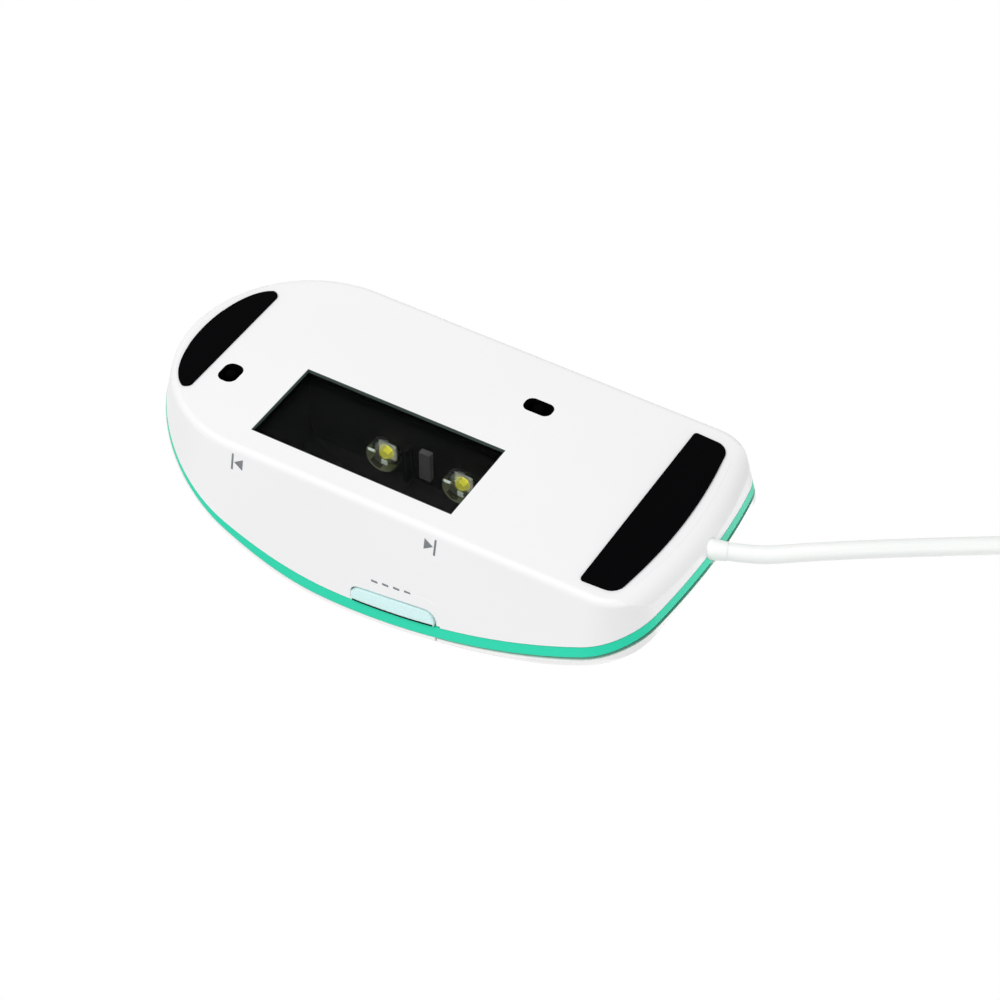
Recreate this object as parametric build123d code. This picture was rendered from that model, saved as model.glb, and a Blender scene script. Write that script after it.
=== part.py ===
from build123d import *
import math
import os

os.makedirs("parts", exist_ok=True)

# A corded desktop mouse that also scans the paper under it. It stands on its feet at z = 0, the lead
# leaves at -Y, the palm is at +Y and the thumb side, with the scan button, is at +X. Sizes in mm.

# Whole body
overall_length = 115.0
overall_width = 61.6
overall_height = 38.0
foot_proud = 0.4
base = foot_proud
overrun = 3.0

# Plan of the underside: two front corner circles, a rear circle and a bowed front
rear_radius_share = 0.4107
rear_radius = rear_radius_share * overall_width
corner_radius = 8.8
front_width_share = 0.4058
front_half_width = front_width_share * overall_width
bow_radius = 85.0

# Moulded walls
wall = 1.8
floor = 2.0
crease_radius = 1.5
nose_crease_radius = 4.4
nose_crease_gap = 0.05
seam = 0.12

# Parting arch, seen from the side, with the coloured band above it
arch_end_height = 3.6
arch_rise_share = 0.4763
arch_rise = arch_rise_share * overall_height
arch_rear_end_height = 4.9
arch_peak_share = 0.0522
arch_peak_y = arch_peak_share * overall_length
arch_front_share = 0.5565
arch_front_reach = arch_front_share * overall_length
arch_rear_share = 0.4348
arch_rear_reach = arch_rear_share * overall_length
arch_front_power = 0.9
arch_rear_power = 1.2
band_height = 2.2
band_rear_height = 0.9
band_taper_start_share = 0.1
band_taper_end_share = 0.4
cover_lip = 0.6
ledge_depth = 2.6
ledge_drop = 0.3

# Crown over the band
crown_rise = overall_height - base - arch_end_height - arch_rise - band_height - cover_lip
nose_start_share = -0.087
nose_start_y = nose_start_share * overall_length
palm_power = 2.4
nose_power = 3.5
hip_power = 10.0
crown_rows = 25
crown_columns = 17
crown_margin = 2.0

# Seams of the two keys
key_seam_share = -0.1043
key_seam_y = key_seam_share * overall_length
key_seam_radius = 95.0
key_seam_gap = 0.5
key_gap_rear = 0.3
key_gap_front = 0.95

# Inner frame that carries the keys
frame_gap = 0.9
frame_thickness = 1.5
frame_rear_share = -0.0522
frame_rear_y = frame_rear_share * overall_length

# Scan window
window_width_share = 0.3133
window_length_share = 0.3791
window_x_share = 0.1656
window_y_share = 0.0678
window_width = window_width_share * overall_width
window_length = window_length_share * overall_length
window_x = window_x_share * overall_width
window_y = window_y_share * overall_length
pane_thickness = 1.2
pane_margin = 1.0
pane_clearance = 0.1

# Dark box over the window
box_wall = 1.2
box_margin = 0.35
box_low_share = 0.4737
box_top_share = 0.6053
box_low_height = box_low_share * overall_height
box_top_height = box_top_share * overall_height
box_flange_width = 1.2
box_flange_left = 0.8
box_flange_thickness = 1.2
box_top_width = 13.0
box_top_length = 16.0
box_top_plate = 1.4

# Lamp board on the right wall of the dark box
lamp_board_thickness = 1.0
lamp_board_length = 30.0
lamp_board_share = 0.2368
lamp_board_height = lamp_board_share * overall_height
lamp_share = 0.3526
lamp_height = lamp_share * overall_height
lamp_spacing = 17.0
lamp_ahead = 3.8
lamp_mid_y = window_y - lamp_ahead
lamp_width = 3.6
lamp_depth = 1.4
lamp_dome_radius = 1.5
lamp_slot_clearance = 0.25
lamp_cap_radius = 3.4
lamp_cap_height = 3.0
lamp_cap_round = 0.9
lamp_cap_hollow = 1.9
lamp_seat_depth = 0.5
lamp_seat_radius = 2.6
lamp_peg_radius = 0.7
lamp_peg_clearance = 0.1
lamp_peg_inset = 2.0
lamp_rib_offset = 3.3
lamp_rib_y = lamp_mid_y + lamp_rib_offset
lamp_rib_thickness = 1.0
lamp_rib_reach = 2.2
lamp_rib_margin = 1.0
lamp_rib_height = lamp_board_height - lamp_rib_margin
lamp_bar_offset = 0.2
lamp_bar_y = lamp_mid_y + lamp_bar_offset
lamp_bar_width = 1.6
lamp_bar_reach = 1.3
lamp_bar_height = 2.4

# Camera over the dark box
camera_barrel_radius = 3.6
camera_barrel_drop = 2.4
camera_barrel_height = 4.2
camera_barrel_wall = 1.0
camera_hole_clearance = 0.4
camera_stop_depth = 1.5
camera_holder_size = 9.0
camera_holder_height = 4.0
camera_bore_height = 2.0
camera_cavity_size = 7.0
camera_lens_radius = 2.6
camera_lens_thickness = 0.9
camera_lens_dome = 0.5
camera_bore_clearance = 0.05
camera_board_length = 16.0
camera_board_width = 11.0
camera_board_thickness = 1.0
camera_chip_size = 6.0
camera_chip_height = 0.9
camera_post_radius = 1.6
camera_post_y = 6.6
camera_screw_radius = 0.8
camera_screw_head_radius = 1.4
camera_screw_head_height = 0.9
camera_screw_length = 4.0
ribbon_width = 6.0
ribbon_thickness = 0.3
ribbon_bend = 2.5
ribbon_on_board = 3.2
ribbon_over_edge = 2.7
ribbon_fall = 7.0
ribbon_socket_gap = 3.5
ribbon_socket_width = 2.5
ribbon_socket_length = 7.5
ribbon_socket_height = 2.0

# Slots of the two tracking sensors
front_slot_x_share = -0.2045
front_slot_x = front_slot_x_share * overall_width
front_slot_y_share = -0.1165
front_slot_y = front_slot_y_share * overall_length
front_slot_width = 3.6
front_slot_length = 6.0
rear_slot_x_share = 0.1445
rear_slot_x = rear_slot_x_share * overall_width
rear_slot_ahead = 3.9
rear_slot_width = 5.1
rear_slot_length = 4.0
slot_corner_share = 0.42
slot_web = 0.7
slot_relief = 0.9
tracker_width = 9.0
tracker_length = 7.6
tracker_height = 2.6
lens_plate_thickness = 1.4
lens_dome_radius = 1.3

# Main board
board_bottom = base + 5.6
board_thickness = 1.6
board_top = board_bottom + board_thickness
board_width_share = 0.3636
board_half_width = board_width_share * overall_width
board_cut_clearance = 0.6
board_screw_head_radius = 2.2
board_screw_head_height = 1.2
board_screw_radius = 1.0
post_inset = 4.2
post_wall = 1.1
post_behind = 18.6
rear_post_ahead = 2.5
processor_share = 0.195
processor_size = processor_share * overall_width
processor_gap = 1.25
processor_height = 1.4
memory_x_share = -0.1542
memory_x = memory_x_share * overall_width
memory_y_share = 0.2087
memory_y = memory_y_share * overall_length
memory_width = 8.0
memory_length = 5.0
memory_height = 1.2
crystal_gap = 3.8
crystal_y_share = -0.0348
crystal_y = crystal_y_share * overall_length
crystal_width = 4.4
crystal_length = 11.0
crystal_height = 3.4

# Key switches
switch_length_share = 0.2078
switch_length = switch_length_share * overall_width
switch_gap = 0.7
switch_behind = 5.0
switch_width = 5.8
switch_height = 6.4
plunger_length = 2.4
plunger_width = 1.4
plunger_height = 0.8
press_gap = 0.35
post_radius = 1.6
post_clearance = 1.0

# Key hinges
hinge_y_share = -0.1522
hinge_y = hinge_y_share * overall_length
hinge_x_share = 0.211
hinge_x = hinge_x_share * overall_width
hinge_drop = 3.6
pin_radius = 1.2
pin_clearance = 0.06
lug_width = 7.0
lug_length = 3.2
ear_thickness = 1.4
ear_clearance = 0.3
ear_radius = 2.4
hinge_window_clearance = 0.7

# Scroll wheel
wheel_radius_share = 0.3158
wheel_radius = wheel_radius_share * overall_height
wheel_width = 6.6
wheel_y_share = -0.287
wheel_y = wheel_y_share * overall_length
wheel_proud = 3.5
tyre_thickness = 1.8
hub_radius = wheel_radius - tyre_thickness
hub_web = 1.6
hub_boss_radius = 2.6
axle_radius = 1.4
axle_clearance = 0.05
spoke_slots = 12
slot_radius_share = 0.7
slot_hole_radius = 1.35
wheel_slot_width = 8.4
wheel_slot_clearance = 0.7
wheel_slot_length = 2 * (wheel_radius + wheel_slot_clearance)
wheel_slot_ahead = 1.7
tyre_grooves = 24
tyre_groove_radius = 0.45
tyre_groove_depth = 0.2

# Carrier of the wheel
carrier_wall = 1.4
carrier_side_clearance = 1.0
carrier_travel = 0.5
guide_clearance = 0.3
guide_thickness = 1.4
guide_rise_share = 0.52
cheek_front_share = 0.5
cheek_rear_share = 0.75
plunger_front_share = 0.6
wheel_switch_size = 6.0
wheel_switch_share = 0.3
wheel_switch_height = 4.3
wheel_plunger_radius = 1.6
wheel_plunger_height = 1.0

# Optical wheel counter
counter_width = 4.4
counter_length = 4.6
counter_y_share = 0.38
counter_gap = 1.4

# Scan button on the thumb side
scan_y_share = -0.0661
scan_y = scan_y_share * overall_length
scan_length = 18.8
scan_depth = 5.2
scan_corner = 3.3
scan_slope = 5.8
scan_proud = 0.3
scan_clearance = 0.25
scan_flange = 1.1
scan_plate = 1.5
scan_flange_thickness = 1.0
scan_flange_gap = 0.3
scan_travel = 0.8
scan_board_thickness = 1.0
scan_board_length = 19.0
scan_board_gap = 0.3
scan_board_x = board_half_width + scan_board_gap
scan_switch_length = 6.0
scan_switch_height = 3.0
scan_switch_depth = 1.2
scan_plunger_radius = 0.8
scan_plunger_depth = 0.4
scan_light_length = 2.4
scan_light_depth = 0.8
scan_light_offset = 5.6
scan_cup_wall = 1.2
scan_stem_radius = 1.4
scan_stem_gap = 0.1

# Feet
foot_depth = 0.5
foot_inset = 3.2
foot_clearance = 0.15
foot_thickness = foot_depth + foot_proud
front_foot_reach = 14.3
front_foot_corner = 1.0
rear_foot_reach = 9.76
rear_foot_inset = 2.66
rear_foot_share = 0.9644
rear_foot_radius = rear_foot_share * rear_radius
rear_foot_corner = 1.6

# Shell screws under the feet
shell_screw_radius = 1.3
shell_screw_head_radius = 2.4
shell_screw_head_height = 1.5
shell_screw_reach = 4.0
shell_boss_radius = 3.3
shell_boss_height = 7.2
pilot_radius = 1.3
pilot_depth = 5.0
front_screw_share = 0.2435
front_screw_x = front_screw_share * overall_width
front_screw_reach = 9.6
rear_screw_share = 0.1526
rear_screw_x = rear_screw_share * overall_width
rear_screw_reach = 6.56
screw_hole_clearance = 0.3
pillar_clearance = 0.4

# Lead and its gland
cord_diameter = 3.4
exit_z = 4.4
exit_turned = 20.0
gland_hole_radius = 2.02
gland_waist_clearance = 0.05
gland_flange_radius = 2.6
gland_flange_thickness = 1.4
gland_flange_clearance = 0.1
gland_inner_length = 5.6
gland_inner_radius = 1.6
gland_bend_out = 0.3
gland_nose_length = 2.6
gland_tip_radius = 1.78
inner_lead_radius = 0.95
socket_width = 7.2
socket_length = 5.4
socket_height = 3.3

# Lead on the floor, from one bend to the next, after its first run out of the gland
lead_first_run = 6.0
lead_route = [
    (-5.2, -70.4, 3.0),
    (-9.0, -77.9, 1.7),
    (-16.0, -88.4, 1.7),
    (-27.5, -106.3, 1.7),
]
lead_last_run = 8.0
bend_share = 0.45

# Coil of the spare lead
coil_x = -19.5
coil_y = -139.0
coil_turned = 148.7
coil_pitch = 4.4
coil_layers = 4
coil_flat_turns = 5
coil_last_turns = 4
coil_outer_radius = 24.4
cord_sides = 8
self_gap_steps = 12
self_gap_share = 6
tie_thickness = 0.9
tie_width = 7.0
tie_clearance = 0.25
tie_corner = 2.0
tie_gap_below = 0.1

# Lead from the coil to the plug
tail_first_run = 12.0
tail_route = [
    (-49.0, -154.6, 10.2),
    (-46.2, -167.2, 4.6),
]
tail_last_run = 10.0

# Plug at the end of the lead
plug_x = -29.0
plug_y = -179.4
plug_turned = -10.0
plug_width = 15.8
plug_height = 7.8
plug_length = 27.0
plug_corner = 2.2
plug_edge = 0.8
plug_relief_length = 9.0
plug_relief_tip = 1.95
plug_relief_radius = 2.9
plug_grip_ribs = 4
plug_rib_pitch = 2.4
plug_rib_depth = 0.4
plug_rib_width = 1.1
plug_grip_start = 6.0
shell_width = 12.0
shell_height = 4.5
shell_length = 12.0
shell_sheet = 0.3
shell_corner = 0.6
tongue_thickness = 1.84
tongue_length = 10.5
tongue_clearance = 0.3
contact_count = 4
contact_width = 1.0
contact_pitch = 2.5
contact_thickness = 0.2
contact_length = 7.5
latch_window = 2.2
latch_offset = 3.2
latch_from_mouth = 5.2


# Shape helpers

def block(low, high):
    """A box between two corners."""
    size = [b - a for a, b in zip(low, high)]
    middle = [(a + b) / 2 for a, b in zip(low, high)]
    return Pos(*middle) * Box(*size)


def rod(radius, low_z, high_z, x=0, y=0):
    """An upright cylinder."""
    return Pos(x, y, (low_z + high_z) / 2) * Cylinder(radius, high_z - low_z)


def cross_rod(radius, low_x, high_x, y, z):
    """A cylinder along X."""
    turned = Rot(0, 90, 0) * Cylinder(radius, high_x - low_x)
    return Pos((low_x + high_x) / 2, y, z) * turned


def long_rod(radius, low_y, high_y, x, z):
    """A cylinder along Y."""
    turned = Rot(90, 0, 0) * Cylinder(radius, high_y - low_y)
    return Pos(x, (low_y + high_y) / 2, z) * turned


def one(shape):
    """The largest solid of a result, without slivers."""
    return max(shape.solids(), key=lambda s: s.volume)


# Body form

def eased(turn):
    """A share from 0 to 1, made level at both ends."""
    return turn * turn * (3 - 2 * turn)


def share_of_arch(y):
    """Height share of the parting arch at y, from 0 at its ends to 1 at its peak."""
    ahead = arch_peak_y - y
    reach = arch_front_reach if ahead > 0 else arch_rear_reach
    power = arch_front_power if ahead > 0 else arch_rear_power
    away = min(1.0, abs(ahead) / reach)
    return (1.0 - away**2) ** power


def arch_height(y):
    """Height of the parting line over y."""
    peak = arch_end_height + arch_rise
    end = arch_end_height if y < arch_peak_y else arch_rear_end_height
    return base + end + (peak - end) * share_of_arch(y)


def band_at(y):
    """Height of the coloured band at y: even, and drawn thin towards the rear."""
    start = band_taper_start_share * overall_length
    end = band_taper_end_share * overall_length
    turn = min(1.0, max(0.0, (y - start) / (end - start)))
    turn = eased(turn)
    return band_height + (band_rear_height - band_height) * turn


full_edge = arch_end_height + arch_rise + band_height + cover_lip
wall_lean = (overall_width / 2 - rear_radius) / full_edge


def end_growth(y):
    """How far the wall has leaned out where the crown meets it at an end."""
    return wall_lean * (arch_height(y) - base + band_at(y) + cover_lip)


front_base_y = -overall_length / 2 + end_growth(-overall_length / 2)
rear_base_y = overall_length / 2 - end_growth(overall_length / 2)
rear_centre_y = rear_base_y - rear_radius
bow_centre_y = front_base_y + bow_radius
corner_x = front_half_width - corner_radius
corner_y = bow_centre_y - math.sqrt((bow_radius - corner_radius) ** 2 - corner_x**2)


def outline(grow):
    """The plan of the wall as a face, grown sideways by that much."""
    reach = math.hypot(corner_x, rear_centre_y - corner_y)
    toward = math.atan2(rear_centre_y - corner_y, -corner_x)
    normal = toward - math.acos((corner_radius - rear_radius) / reach)
    side = Vector(math.cos(normal), math.sin(normal), 0)
    corner = Vector(corner_x, corner_y, 0)
    bow = Vector(0, bow_centre_y, 0)
    away = (corner - bow).normalized()
    low = corner + away * (corner_radius + grow)
    low_side = corner + side * (corner_radius + grow)
    high_side = Vector(0, rear_centre_y, 0) + side * (rear_radius + grow)
    half_way = corner + (away + side).normalized() * (corner_radius + grow)
    front = Vector(0, bow_centre_y - bow_radius - grow, 0)
    rear = Vector(0, rear_centre_y + rear_radius + grow, 0)

    def across(point):
        return Vector(-point.X, point.Y, 0)

    edges = [
        ThreePointArc(across(low), front, low),
        ThreePointArc(low, half_way, low_side),
        Line(low_side, high_side),
        ThreePointArc(high_side, rear, across(high_side)),
        Line(across(high_side), across(low_side)),
        ThreePointArc(across(low_side), across(half_way), across(low)),
    ]
    return Face(Wire([e.edge() for e in edges]))


def side_x(y, z, inset=0.0):
    """X of the thumb side wall at a place."""
    share = (y - corner_y) / (rear_centre_y - corner_y)
    plan = front_half_width + (rear_radius - front_half_width) * share
    return plan + wall_lean * (z - base) - inset


def wall_block(inset=0.0):
    """The solid inside the leaning walls, moved in by the inset."""
    height = overall_height + overrun
    low = Pos(0, 0, base) * outline(-inset)
    high = Pos(0, 0, base + height) * outline(wall_lean * height - inset)
    return loft([low, high], ruled=True)


def crown_height(x, y, inset=0.0):
    """Height of the crown over a place, moved in by the inset."""
    edge = arch_height(y) + band_at(y) + cover_lip
    grow = wall_lean * (edge - base) - inset
    if y > rear_centre_y:
        ratio = math.hypot(x, y - rear_centre_y) / (rear_radius + grow)
    else:
        aside = abs(x) / (rear_radius + grow)
        nose = nose_start_y - front_base_y + grow
        ahead = max(0.0, nose_start_y - y) / nose
        ratio = (aside**hip_power + ahead**hip_power) ** (1 / hip_power)
    turn = min(1.0, max(0.0, (arch_peak_y - y) / (arch_peak_y - wheel_y)))
    turn = eased(turn)
    power = palm_power + (nose_power - palm_power) * turn
    return edge + crown_rise * (1 - ratio**power) - inset


def crown_block(inset=0.0):
    """Everything under the crown surface."""
    half_x = overall_width / 2 + crown_margin
    half_y = overall_length / 2 + crown_margin
    grid = []
    for i in range(crown_columns):
        x = half_x * (2 * i / (crown_columns - 1) - 1)
        line = []
        for j in range(crown_rows):
            y = half_y * (2 * j / (crown_rows - 1) - 1)
            line.append(Vector(x, y, crown_height(x, y, inset)))
        grid.append(line)
    skin = Face.make_surface_from_array_of_points(grid)
    return Solid.extrude(skin, Vector(0, 0, -overall_height - 2 * overrun))


def under_arch(lift=0.0, fall=0.0, bands=0):
    """Everything under the parting arch, lifted, with more lift to the front by fall, and the band's."""
    half_y = overall_length / 2 + overrun
    steps = 2 * crown_rows
    points = []
    for i in range(steps + 1):
        y = half_y * (2 * i / steps - 1)
        more = fall * max(0.0, hinge_y - y) / (hinge_y + half_y)
        points.append((y, arch_height(y) + bands * band_at(y) + lift + more))
    top = Spline(*points)
    low = -overrun
    sides = Polyline(points[-1], (half_y, low), (-half_y, low), points[0])
    profile = Plane.YZ * make_face(top + sides)
    return extrude(profile, overall_width / 2 + overrun, both=True)


def nose_block():
    """A flared disc about the bow's centre, whose lower edge is rounder than the crease elsewhere."""
    reach = bow_radius + nose_crease_gap
    height = overall_height + overrun
    corners = [(0, base), (reach, base), (reach + wall_lean * height, base + height), (0, base + height)]
    profile = make_face(Polyline(*corners, close=True))
    rim = [v for v in profile.vertices() if v.X > bow_radius and v.Y < base + nose_crease_gap]
    profile = fillet(rim, nose_crease_radius)
    return Pos(0, bow_centre_y, 0) * revolve(Plane.XZ * profile, Axis.Z)


# Solids that several pieces are cut from

outer = wall_block()
outer = fillet(outer.edges().group_by(Axis.Z)[0], crease_radius) & nose_block()
wall_inside = wall_block(wall)
far = overall_length
room = wall_inside - block((-far, -far, -overrun), (far, far, base + floor))
below_band = under_arch()
above_seam = under_arch(seam)
below_cover = under_arch(0, 0, 1)
crown_outer = wall_block() & crown_block()
crown_inner = wall_inside & crown_block(wall)
crown_core = wall_block(wall / 2) & crown_block(wall / 2)
frame_inset = wall + frame_gap
frame_outer = wall_block(frame_inset) & crown_block(frame_inset)
frame_inner_inset = frame_inset + frame_thickness
frame_inner = wall_block(frame_inner_inset) & crown_block(frame_inner_inset)
frame_core_inset = frame_inset + frame_thickness / 2
frame_core = wall_block(frame_core_inset) & crown_block(frame_core_inset)

# Feet, screws and the board's ends, from the ends of the underside
front_foot_edge_y = front_base_y + front_foot_reach
rear_foot_edge_y = rear_base_y - rear_foot_reach
rear_foot_outer_y = rear_base_y - rear_foot_inset
front_screw_y = front_base_y + front_screw_reach
rear_screw_y = rear_base_y - rear_screw_reach
board_rear_y = rear_screw_y - shell_boss_radius - board_cut_clearance
rear_slot_y = board_rear_y - rear_slot_ahead

floor_top = base + floor
boss_top = base + shell_boss_height
front_screws = [(front_screw_x, front_screw_y), (-front_screw_x, front_screw_y)]
rear_screws = [(rear_screw_x, rear_screw_y), (-rear_screw_x, rear_screw_y)]

# Window and dark box places
box_half_width = window_width / 2 + box_margin
box_half_length = window_length / 2 + box_margin
box_right_x = window_x - box_half_width - box_wall
box_front_y = window_y - box_half_length - box_wall
box_low_z = base + box_low_height
box_top_z = base + box_top_height
lamp_board_x = box_right_x - lamp_board_thickness
ribbon_socket_x = lamp_board_x - ribbon_socket_gap
processor_x = ribbon_socket_x - ribbon_socket_width / 2 - processor_gap - processor_size / 2
crystal_x = lamp_board_x - crystal_gap

# Board posts, and the places that the board leaves free
post_x = board_half_width - post_inset
board_post_radius = board_screw_radius + post_wall
board_front_edge = front_screw_y + shell_boss_radius + board_cut_clearance
board_posts = [
    (post_x, board_front_edge + post_behind),
    (-post_x, board_front_edge + post_behind),
    (-post_x, window_y + window_length / 3),
    (post_x, rear_slot_y - rear_post_ahead),
]

# Wheel and carrier places
wheel_z = crown_height(0, wheel_y) + wheel_proud - wheel_radius
cheek_in = wheel_width / 2 + carrier_side_clearance
cheek_out = cheek_in + carrier_wall
carrier_low = board_top + carrier_travel + guide_clearance
cheek_front = wheel_y - wheel_radius * cheek_front_share
cheek_rear = wheel_y + wheel_radius * cheek_rear_share
cheek_top = wheel_z - axle_radius - guide_clearance
guide_out = cheek_out + guide_clearance + guide_thickness
guide_top = cheek_top - carrier_travel
wheel_switch_y = cheek_rear + wheel_switch_size * wheel_switch_share
wheel_switch_top = board_top + wheel_switch_height + wheel_plunger_height
foot_low = wheel_switch_top + carrier_travel + press_gap / 2
lip_low = foot_low + guide_rise_share * (guide_top - foot_low)
counter_y = wheel_y + wheel_radius * counter_y_share
slot_circle = hub_radius * slot_radius_share
beam_z = wheel_z - math.sqrt(slot_circle**2 - (counter_y - wheel_y) ** 2)
counter_height = beam_z + counter_length / 3 - board_top
switch_x = guide_out + switch_gap + switch_length / 2
switch_y = board_front_edge + switch_behind

# Hinge of the keys
hinge_z = crown_height(hinge_x, hinge_y) - wall - hinge_drop
ear_near = lug_width / 2 + ear_clearance
ear_far = ear_near + ear_thickness

# Scan button
scan_mid_z = arch_height(scan_y)
scan_switch_z = scan_mid_z - scan_depth / 2
scan_board_face = scan_board_x + scan_board_thickness
plunger_face = scan_board_face + scan_switch_depth + scan_plunger_depth

# Lead places
front_wall_y = front_base_y - wall_lean * (exit_z - base)
bend_y = front_wall_y - gland_bend_out
exit_way = Vector(-math.sin(math.radians(exit_turned)), -math.cos(math.radians(exit_turned)), 0)
nose_tip = Vector(0, bend_y, exit_z) + exit_way * gland_nose_length


def scan_shape(grow):
    """The D of the scan button, along X, grown by that much."""
    long = scan_length + 2 * grow
    deep = 2 * (scan_depth + grow)
    plate = RectangleRounded(long, deep, scan_corner + grow / 2)
    placed = Plane.YZ * (Pos(scan_y, scan_mid_z) * Rot(0, 0, scan_slope) * plate)
    return extrude(placed, overall_width) & under_arch(grow - scan_clearance)


def slot_hole(x, y, width, length):
    """A rounded slot through the floor."""
    corner = min(width, length) * slot_corner_share
    plate = Pos(x, y) * RectangleRounded(width, length, corner)
    return extrude(plate, floor_top + overrun)


def slot_pocket(x, y, width, length):
    """The thinned floor round a slot, from inside."""
    corner = min(width, length) * slot_corner_share
    plate = RectangleRounded(width + 2 * slot_relief, length + 2 * slot_relief, corner)
    return Pos(x, y, base + slot_web) * extrude(plate, floor)


def front_foot_shape(grow):
    """The front foot's plan: the underside's own front, cut straight behind."""
    plan = outline(grow - foot_inset)
    half = overall_width
    keep = Pos(0, front_foot_edge_y + grow - half) * Rectangle(2 * half, 2 * half)
    plan = plan & keep
    corners = plan.vertices().group_by(Axis.Y)[-1]
    return fillet(corners, front_foot_corner)


def rear_foot_shape(grow):
    """The rear foot's plan: a straight front edge under a round one."""
    disc = Pos(0, rear_foot_outer_y - rear_foot_radius) * Circle(rear_foot_radius + grow)
    half = overall_width
    keep = Pos(0, rear_foot_edge_y - grow + half) * Rectangle(2 * half, 2 * half)
    plan = disc & keep
    return fillet(plan.vertices().group_by(Axis.Y)[0], rear_foot_corner)


def foot(shape):
    """A glide pad: its plan, as thick as the recess and what stands proud."""
    return extrude(shape, foot_thickness)


def box_solid(grow, low_z, high_z):
    """The dark box's hollow or outside: upright below, drawn in above."""
    low_plate = Rectangle(2 * (box_half_width + grow), 2 * (box_half_length + grow))
    top_plate = Rectangle(box_top_width + 2 * grow, box_top_length + 2 * grow)
    middle = Pos(window_x, window_y, 0)
    bend_z = box_low_z + grow
    straight = middle * Pos(0, 0, low_z) * extrude(low_plate, bend_z - low_z)
    ends = [Pos(0, 0, bend_z) * low_plate, Pos(0, 0, high_z) * top_plate]
    drawn = middle * loft(ends, ruled=True)
    return straight + drawn


# Bottom shell

def bottom_shell():
    """The lower housing: floor, walls, window opening, recesses, bosses, posts and wheel guides."""
    shell = (outer - room) & below_band
    opening = Pos(window_x, window_y) * Rectangle(window_width, window_length)
    shell -= extrude(opening, floor_top + overrun)
    seat = pane_margin + pane_clearance
    rebate = Rectangle(window_width + 2 * seat, window_length + 2 * seat)
    pane_low = floor_top - pane_thickness
    shell -= Pos(window_x, window_y, pane_low) * extrude(rebate, floor)
    shell -= slot_hole(front_slot_x, front_slot_y, front_slot_width, front_slot_length)
    shell -= slot_hole(rear_slot_x, rear_slot_y, rear_slot_width, rear_slot_length)
    shell -= slot_pocket(front_slot_x, front_slot_y, front_slot_width, front_slot_length)
    shell -= slot_pocket(rear_slot_x, rear_slot_y, rear_slot_width, rear_slot_length)
    recess = base + foot_depth
    shell -= extrude(front_foot_shape(foot_clearance), recess)
    shell -= extrude(rear_foot_shape(foot_clearance), recess)
    head_top = recess + shell_screw_head_height + screw_hole_clearance
    for x, y in front_screws + rear_screws:
        shell += rod(shell_boss_radius, recess, boss_top, x, y)
    for x, y in front_screws + rear_screws:
        head = shell_screw_head_radius + screw_hole_clearance
        shell -= rod(head, 0, head_top, x, y)
        shell -= rod(shell_screw_radius + screw_hole_clearance, 0, boss_top + overrun, x, y)
    for x, y in board_posts:
        shell += rod(board_post_radius, base + floor / 2, board_bottom, x, y)
        shell -= rod(board_screw_radius, floor_top, board_bottom + overrun, x, y)
    for x, y in guide_places():
        shell += guide_post(x, y)
    shell += scan_board_ribs()
    shell -= scan_shape(scan_clearance)
    shell -= gland_hole() + gland_pocket()
    return one(shell)


def guide_places():
    """The middles of the four posts that guide the wheel's carrier."""
    side = (cheek_out + guide_clearance + guide_out) / 2
    front = cheek_front + guide_thickness / 2
    rear = cheek_rear - guide_thickness / 2
    return [(sign * side, y) for sign in (1, -1) for y in (front, rear)]


def guide_post(x, y):
    """One upright post, with a lip across the end of the carrier's cheek."""
    half = guide_thickness / 2
    post = block((x - half, y - half, base + floor / 2), (x + half, y + half, guide_top))
    away = -1 if y < (cheek_front + cheek_rear) / 2 else 1
    end = cheek_front if away < 0 else cheek_rear
    near = end + away * guide_clearance
    far_y = near + away * guide_thickness
    inside = math.copysign(cheek_in, x)
    outside = math.copysign(guide_out, x)
    lip_x = sorted((inside, outside))
    lip_y = sorted((near, far_y))
    lip = block((lip_x[0], lip_y[0], lip_low), (lip_x[1], lip_y[1], guide_top))
    bridge_x = sorted((math.copysign(guide_out - guide_thickness, x), outside))
    bridge_y = sorted((y, far_y))
    bridge = block((bridge_x[0], bridge_y[0], lip_low), (bridge_x[1], bridge_y[1], guide_top))
    return post + lip + bridge


def scan_board_ribs():
    """Two ribs on the floor that hold the ends of the scan button's board."""
    ribs = None
    half = scan_board_length / 2 + pane_clearance
    low_x = scan_board_x
    high_x = side_x(scan_y, base + floor, wall / 2)
    for sign in (1, -1):
        y = sorted((scan_y + sign * half, scan_y + sign * (half + carrier_wall)))
        rib = block((low_x, y[0], base + floor / 2), (high_x, y[1], board_top + floor))
        ribs = rib if ribs is None else ribs + rib
    return ribs


def gland_hole():
    """The hole in the front wall for the gland."""
    return long_rod(gland_hole_radius, -far, front_base_y + floor, 0, exit_z)


def gland_pocket():
    """The room for the gland's flange behind the wall, sunk a little into the floor."""
    radius = gland_flange_radius + gland_flange_clearance
    high_y = front_wall_y + gland_inner_length
    return long_rod(radius, -far, high_y, 0, exit_z) & wall_inside


# Band, covers and keys

def accent_band():
    """The coloured band over the parting arch, with the ledge the covers stand on."""
    ring = outer - wall_block(wall)
    ring = (ring & below_cover) - above_seam
    ledge = wall_block(wall / 2) - wall_block(wall + ledge_depth)
    ledge = (ledge & under_arch(-ledge_drop, 0, 1)) - above_seam
    for x, y in front_screws + rear_screws:
        ledge -= rod(shell_boss_radius + pillar_clearance, 0, overall_height, x, y)
    return one(ring + ledge - gland_hole() - gland_pocket())


def key_region(side, gap):
    """Where the keys are, in plan: in front of a bowed seam, on one side."""
    disc = Pos(0, key_seam_y - key_seam_radius) * Circle(key_seam_radius + gap)
    region = extrude(disc, 2 * overall_height)
    half = key_seam_gap / 2
    x = sorted((side * half, side * far))
    return region & block((x[0], -far, -overrun), (x[1], far, far))


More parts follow.
